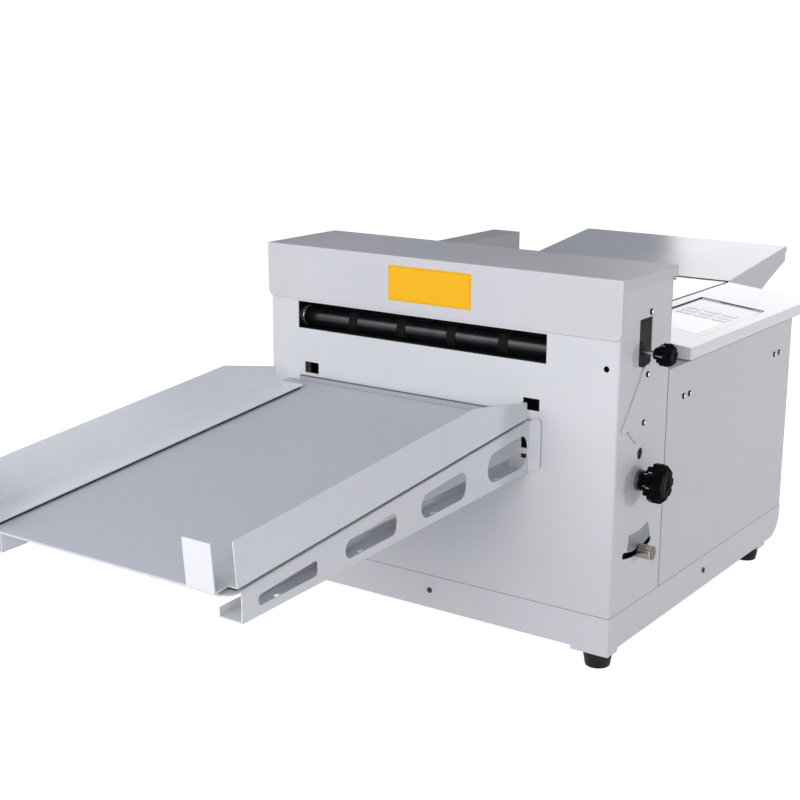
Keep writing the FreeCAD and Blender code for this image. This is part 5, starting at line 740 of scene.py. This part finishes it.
def knob(name, node, body, lobes, depth, colour, rim_share):
    """Moulded knob: plain collar, stepped drum, and a lobed rim with a bevelled face."""
    low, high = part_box(node)
    centre = Vector((low.x, (low.y + high.y) / 2, (low.z + high.z) / 2))
    length = high.x - low.x
    rim = (high.y - low.y) / 2
    rim_at = length * rim_share
    drum_at = rim_at * 0.46
    collar, drum = rim * 0.50, rim * 0.76
    edge = 0.5 * MM
    profile = [(0.0, 0.0), (0.0, collar - edge), (edge, collar), (drum_at, collar),
               (drum_at + edge, drum - edge), (drum_at + 2 * edge, drum),
               (rim_at, drum), (rim_at + edge, rim * 0.94), (rim_at + 2 * edge, rim),
               (length * 0.80, rim), (length * 0.84, rim * 0.97), (length - edge, rim * 0.80),
               (length, rim * 0.76), (length, rim * 0.34), (length - edge, rim * 0.30),
               (length - 2 * edge, 0.0)]
    bm = turned(profile, centre, lobes * 16)

    def lobe(angle, x, radius):
        """Broad lobes with deep narrow hollows; the face keeps its round middle."""
        wave = max(0.0, -math.cos(lobes * angle)) ** 0.8
        share = min(1.0, max(0.0, (radius - rim * 0.45) / (rim * 0.45)))
        return 1.0 - depth * wave * share

    def rib(angle, x, radius):
        """Ribs of the drum, in line with the lobes."""
        if x > rim_at + edge / 2 or radius < collar * 1.02:
            return 1.0
        return 1.0 + 0.14 * (max(0.0, math.cos(lobes * angle)) - 0.6)

    reshape(bm, centre, rim_at + edge / 2, lobe)
    reshape(bm, centre, drum_at, rib)
    black = knob_plastic(name + "_plastic", colour, lobes, low, high, low.x + drum_at + 2 * edge,
                         low.x + length * 0.62)
    finished_piece(name, bm, black, body, 26.0, replaced=(node,))


class CREASER_OT_knobs(bpy.types.Operator):
    """Model the hand wheel, the tool knob and the turned lever knob"""
    bl_idname = "creaser.knobs"
    bl_label = "Knobs"

    def execute(self, context):
        shape = context.scene.creaser_knobs
        colour = tuple(shape.colour)
        knob("hand_wheel_moulded", "hand_wheel", "crank", shape.wheel_lobes, shape.lobe_depth, colour, 0.44)
        knob("tool_knob_moulded", "tool_knob", "tool_handle", shape.tool_lobes, shape.lobe_depth, colour,
             0.34)
        self.lever_knob()
        return {"FINISHED"}

    def lever_knob(self):
        """Plain turned knob with chamfered ends."""
        low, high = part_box("depth_knob")
        centre = Vector((low.x, (low.y + high.y) / 2, (low.z + high.z) / 2))
        length, radius = high.x - low.x, (high.y - low.y) / 2
        bevel = 0.9 * MM
        profile = [(0.0, 0.0), (0.0, radius - bevel), (bevel * 0.3, radius - bevel * 0.3), (bevel, radius),
                   (length - 1.6 * bevel, radius), (length - 1.3 * bevel, radius - 0.25 * MM),
                   (length - bevel, radius), (length - bevel * 0.3, radius - bevel * 0.35),
                   (length, radius - 1.1 * bevel), (length, 1.2 * MM), (length - 0.5 * MM, 0.0)]
        bm = turned(profile, centre, 72)
        nickel = drawn_nickel("knob_nickel", high.x)
        finished_piece("lever_knob_turned", bm, nickel, "lever", 30.0,
                       replaced=("depth_knob",))


class CREASER_OT_screws(bpy.types.Operator):
    """Turn a pan head screw for every screw of the casing, and keep the bolts of the feet"""
    bl_idname = "creaser.screws"
    bl_label = "Screws"

    def execute(self, context):
        shape = context.scene.creaser_screws
        source = bmesh.new()
        source.from_mesh(NODES["machine_screws"].data)
        bmesh.ops.remove_doubles(source, verts=source.verts, dist=1e-6)
        steel, black = bmesh.new(), bmesh.new()
        bolts = []
        for solid in islands(source):
            low = Vector([min(v.co[i] for v in solid) for i in range(3)])
            high = Vector([max(v.co[i] for v in solid) for i in range(3)])
            axis = min(range(3), key=lambda i: len({round(v.co[i], 5) for v in solid}))
            if axis == 2:
                bolts += solid
            else:
                target = black if high.z < SHELL_LOW.z else steel
                self.screw(target, solid, low, high, axis, shape.steps)
        if not steel.verts or not black.verts or not bolts:
            raise RuntimeError("the screws weren't found in their node")
        spare = [v for v in source.verts if v not in set(bolts)]
        bmesh.ops.delete(source, geom=spare, context="VERTS")
        dark = moulded("screw_black", (0.010, 0.010, 0.011), 0.4)
        finished_piece("casing_screws", steel, screw_steel("screw_steel", shape), "casing", 30.0,
                       replaced=("machine_screws",))
        finished_piece("pan_screws", black, dark, "casing", 30.0)
        finished_piece("foot_bolts", source, turned_steel("bolt_zinc", (0.4, 0.4, 0.41), 0.35), "casing",
                       30.0)
        return {"FINISHED"}

    def screw(self, bm, solid, low, high, axis, steps):
        """One screw along X or Y: shank, flat underside and domed head."""
        size = high - low
        middle = (low + high) / 2
        radius = size.z / 2
        ends = [v.co[axis] for v in solid if (v.co - middle).cross(self.along(axis)).length > radius * 0.9]
        outwards = 1.0 if sum(ends) / len(ends) > middle[axis] else -1.0
        length, head = size[axis], 2.2 * MM
        shank = radius * 0.55
        profile = [(0.0, 0.0), (0.0, shank), (length - head, shank), (length - head, radius),
                   (length - head * 0.55, radius * 0.97), (length - head * 0.25, radius * 0.84),
                   (length - head * 0.06, radius * 0.60), (length, radius * 0.3), (length, 0.0)]
        made = turned(profile, (0.0, 0.0, 0.0), steps)
        turn = Matrix.Rotation(0.0 if axis == 0 else math.pi / 2, 4, "Z")
        if outwards < 0:
            turn = turn @ Matrix.Rotation(math.pi, 4, "Z")
        start = middle.copy()
        start[axis] = low[axis] if outwards > 0 else high[axis]
        head_map = made.loops.layers.uv.new("head")
        for face in made.faces:
            for loop in face.loops:
                loop[head_map].uv = (loop.vert.co.y / radius, loop.vert.co.z / radius)
        bmesh.ops.transform(made, matrix=Matrix.Translation(start) @ turn, verts=made.verts)
        part = bpy.data.meshes.new("screw")
        made.to_mesh(part)
        made.free()
        bm.from_mesh(part)
        bpy.data.meshes.remove(part)

    def along(self, axis):
        return Vector((1.0, 0.0, 0.0)) if axis == 0 else Vector((0.0, 1.0, 0.0))


def slab(bm, middle, size, slope):
    """A plate whose top face has its middle at the given place, tipped down towards the right."""
    made = bmesh.ops.create_cube(bm, size=1.0)
    bmesh.ops.scale(bm, vec=size, verts=made["verts"])
    bmesh.ops.translate(bm, vec=(0.0, 0.0, -size[2] / 2), verts=made["verts"])
    bmesh.ops.rotate(bm, matrix=Matrix.Rotation(slope, 3, "Y"), verts=made["verts"])
    bmesh.ops.translate(bm, vec=middle, verts=made["verts"])


def soften(bm, offset):
    """Rounds every edge a little."""
    bmesh.ops.bevel(bm, geom=bm.edges[:], offset=offset, affect="EDGES", segments=2, profile=0.5,
                    material=-1)


class CREASER_OT_panel(bpy.types.Operator):
    """Model the membrane of the operating panel, its display window and its raised keys"""
    bl_idname = "creaser.panel"
    bl_label = "Operating panel"

    def execute(self, context):
        low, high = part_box("touch_screen")
        panel_low, panel_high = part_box("control_panel")
        front, back = panel_low.y + PANEL_UNDER, panel_high.y - PANEL_UNDER
        middle, width = (low.x + high.x) / 2, high.x - low.x
        cover, key_face, window_face = 0.8 * MM, 0.35 * MM, 0.15 * MM
        fit = 0.4 * MM

        def at(x, y, rise):
            """A place over the display's own level."""
            return (x, y, high.z - (x - low.x) * math.tan(CONSOLE_SLOPE) + rise)

        membrane = bmesh.new()
        slab(membrane, at(middle, (front + back) / 2, MEMBRANE_LIFT),
             (width + 2 * PANEL_UNDER - fit, back - front, MEMBRANE_LIFT), CONSOLE_SLOPE)
        soften(membrane, 0.3 * MM)
        finished_piece("panel_membrane", membrane, panel_film("membrane_film"), "casing", 20.0)

        window = bmesh.new()
        slab(window, at(middle, (low.y + high.y) / 2, MEMBRANE_LIFT + window_face),
             (width, high.y - low.y, cover), CONSOLE_SLOPE)
        soften(window, 0.12 * MM)
        finished_piece("panel_window", window, display_window("window_glass"), "casing", 20.0,
                       replaced=("touch_screen",))

        keys = bmesh.new()
        columns, rows, gap, depth = 3, 3, 5 * MM, 12 * MM
        wide = (width - gap * (columns - 1)) / columns
        first_x, first_y = low.x + wide / 2, high.y + 14 * MM
        for row in range(rows):
            for column in range(columns):
                place = at(first_x + column * (wide + gap), first_y + row * (depth + gap),
                           MEMBRANE_LIFT + key_face)
                slab(keys, place, (wide, depth, cover), CONSOLE_SLOPE)
        soften(keys, 0.3 * MM)
        finished_piece("panel_keys", keys, moulded("key_pale", (0.62, 0.625, 0.64), 0.22), "casing", 20.0)
        return {"FINISHED"}


class CREASER_OT_shadow_strips(bpy.types.Operator):
    """Lay dark strips as painted shade in the gaps between the level table, the console and the infeed tray
    """
    bl_idname = "creaser.joint_strips"
    bl_label = "Joint strips"

    def execute(self, context):
        table_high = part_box("table_top")[1]
        tray_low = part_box("infeed_tray")[0]
        screen_low, screen_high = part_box("touch_screen")
        console = table_high.x - CONSOLE_WIDTH
        level = screen_high.z + (screen_low.x - console) * math.tan(CONSOLE_SLOPE) + PANEL_SINK
        start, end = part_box("infeed_guide_left")[0].y, table_high.y - 2 * MM
        strip, height = 2.4 * MM, 0.5 * MM
        # The strips are painted shade for the gaps.
        bm = bmesh.new()
        slab(bm, (console + strip / 2, (start + end) / 2, level + height / 2), (strip, end - start, height),
             0.0)
        gap_from, gap_to, deep = table_high.y - 1.2 * MM, tray_low.y, 2.0 * MM
        slab(bm, ((tray_low.x + console) / 2, (gap_from + gap_to) / 2, level + deep / 2),
             (console + strip - tray_low.x, gap_to - gap_from, deep), 0.0)
        soften(bm, 0.15 * MM)
        finished_piece("joint_strips", bm, strip_rubber("strip_rubber"), "casing", 20.0)
        return {"FINISHED"}


class CREASER_OT_stage(bpy.types.Operator):
    """Lay the floor, set the lamps and place the camera"""
    bl_idname = "creaser.stage"
    bl_label = "Stage"

    def execute(self, context):
        look = context.scene.creaser_stage
        scene = context.scene
        self.floor(scene)
        self.world(scene, look)
        centre = FRONT_MIDDLE + Vector((0.0, 0.05, 0.25))
        for name, width in LAMP_WIDTHS.items():
            self.lamp(scene, name, getattr(look, name + "_place"), centre, "DISK", width,
                      getattr(look, name))
        card = FRONT_MIDDLE + Vector(look.card_place)
        self.lamp(scene, "card", look.card_place, card - Vector((0.0, 1.0, 0.0)), "SQUARE", 1.6, look.card)
        self.flag(scene, card)
        self.camera(scene, look)
        return {"FINISHED"}

    def plane(self, scene, name, width, height):
        bm = bmesh.new()
        bmesh.ops.create_grid(bm, x_segments=1, y_segments=1, size=0.5)
        bmesh.ops.scale(bm, vec=(width, height, 1.0), verts=bm.verts)
        mesh = bpy.data.meshes.new(name)
        bm.to_mesh(mesh)
        bm.free()
        made = bpy.data.objects.new(name, mesh)
        scene.collection.objects.link(made)
        return made

    def floor(self, scene):
        floor = self.plane(scene, "floor", 60.0, 60.0)
        f = Finish("floor_paper", Roughness=0.9)
        seen = self.seen(f)
        f.set("Base Color", f.mix(seen, (0.82, 0.82, 0.82), (0.50, 0.50, 0.50)))
        f.shader.inputs["Emission Strength"].default_value = 1.0
        f.set("Emission Color", f.mix(seen, (0.0, 0.0, 0.0), (0.89, 0.89, 0.89)))
        floor.data.materials.append(f.material)

    def flag(self, scene, card):
        """Grey flag beside the card: the head cover and the left of the table reflect it."""
        width, height, half_card = 5.0, 3.6, 0.8
        flag = self.plane(scene, "flag", width, height)
        upright = Matrix.Rotation(math.pi / 2, 4, "X")
        place = Matrix.Translation((card.x - half_card - width / 2, card.y, height / 2))
        flag.data.transform(place @ upright)
        f = Finish("flag_cloth", Roughness=1.0, Specular_IOR_Level=0.0)
        f.set("Base Color", f.mix(f.spread(f.noise(40.0), 0.0, 1.0), (0.16, 0.16, 0.18), (0.18, 0.18, 0.2)))
        flag.data.materials.append(f.material)
        for ray in ("camera", "diffuse", "transmission", "shadow"):
            setattr(flag, "visible_" + ray, False)

    def seen(self, f):
        """1 for rays that show the backdrop to the camera, directly or in a reflection."""
        direct = f.add("ShaderNodeLightPath", out="Is Camera Ray")
        glossy = f.add("ShaderNodeLightPath", out="Is Glossy Ray")
        through = f.add("ShaderNodeLightPath", out="Is Transmission Ray")
        return (direct + glossy + through).call("MINIMUM", 1.0)

    def world(self, scene, look):
        world = bpy.data.worlds.new("studio")
        world.use_nodes = True
        scene.world = world
        f = Backdrop(world.node_tree)
        tint = tuple(channel * look.ambient for channel in look.ambient_tint)
        f.background(f.mix(self.seen(f), tint, (1.0, 1.0, 1.0)))

    def lamp(self, scene, name, place, target, shape, size, power):
        light = bpy.data.lights.new(name, "AREA")
        light.shape = shape
        light.size = size
        light.energy = power
        lamp = bpy.data.objects.new(name, light)
        lamp.location = FRONT_MIDDLE + Vector(place)
        lamp.rotation_euler = (target - lamp.location).to_track_quat("-Z", "Y").to_euler()
        lamp.visible_camera = False
        scene.collection.objects.link(lamp)

    def camera(self, scene, look):
        data = bpy.data.cameras.new("camera")
        data.lens = look.lens
        data.sensor_width = 36.0
        data.clip_end = 100.0
        camera = bpy.data.objects.new("camera", data)
        scene.collection.objects.link(camera)
        forward = Vector(look.sight).normalized()
        level = forward.cross(Vector((0, 0, 1))).normalized()
        up = level.cross(forward)
        right = level * math.cos(look.roll) + up * math.sin(look.roll)
        upright = up * math.cos(look.roll) - level * math.sin(look.roll)
        turn = Matrix((right, upright, -forward)).transposed()
        camera.rotation_euler = turn.to_euler()
        camera.location = FRONT_MIDDLE + Vector(look.eye)
        scene.camera = camera
        scene.view_settings.view_transform = "Standard"


class CREASER_PT_panel(bpy.types.Panel):
    """Lists the steps that finish the machine"""
    bl_idname = "CREASER_PT_panel"
    bl_label = "Creasing machine"
    bl_space_type = "VIEW_3D"
    bl_region_type = "UI"
    bl_category = "Creaser"

    def draw(self, context):
        layout = self.layout
        for name, group in GROUPS.items():
            box = layout.box()
            for setting in group.__annotations__:
                box.prop(getattr(context.scene, name), setting)
        for step in STEPS:
            layout.operator(step.bl_idname)


STEPS = (CREASER_OT_casing_finish, CREASER_OT_mechanism_finish, CREASER_OT_knobs, CREASER_OT_screws,
         CREASER_OT_panel, CREASER_OT_shadow_strips, CREASER_OT_stage)
GROUPS = {"creaser_coat": CoatLook, "creaser_knobs": KnobShape, "creaser_screws": ScrewShape,
          "creaser_stage": StageLook}


def register():
    for cls in (*GROUPS.values(), *STEPS, CREASER_PT_panel):
        bpy.utils.register_class(cls)
    for name, group in GROUPS.items():
        setattr(bpy.types.Scene, name, PointerProperty(type=group))


def unregister():
    for name in GROUPS:
        delattr(bpy.types.Scene, name)
    for cls in reversed((*GROUPS.values(), *STEPS, CREASER_PT_panel)):
        bpy.utils.unregister_class(cls)


def main():
    register()
    bpy.ops.creaser.casing_finish()
    bpy.ops.creaser.mechanism_finish()
    bpy.ops.creaser.knobs()
    bpy.ops.creaser.screws()
    bpy.ops.creaser.panel()
    bpy.ops.creaser.joint_strips()
    bpy.ops.creaser.stage()


if __name__ == "__main__":
    main()
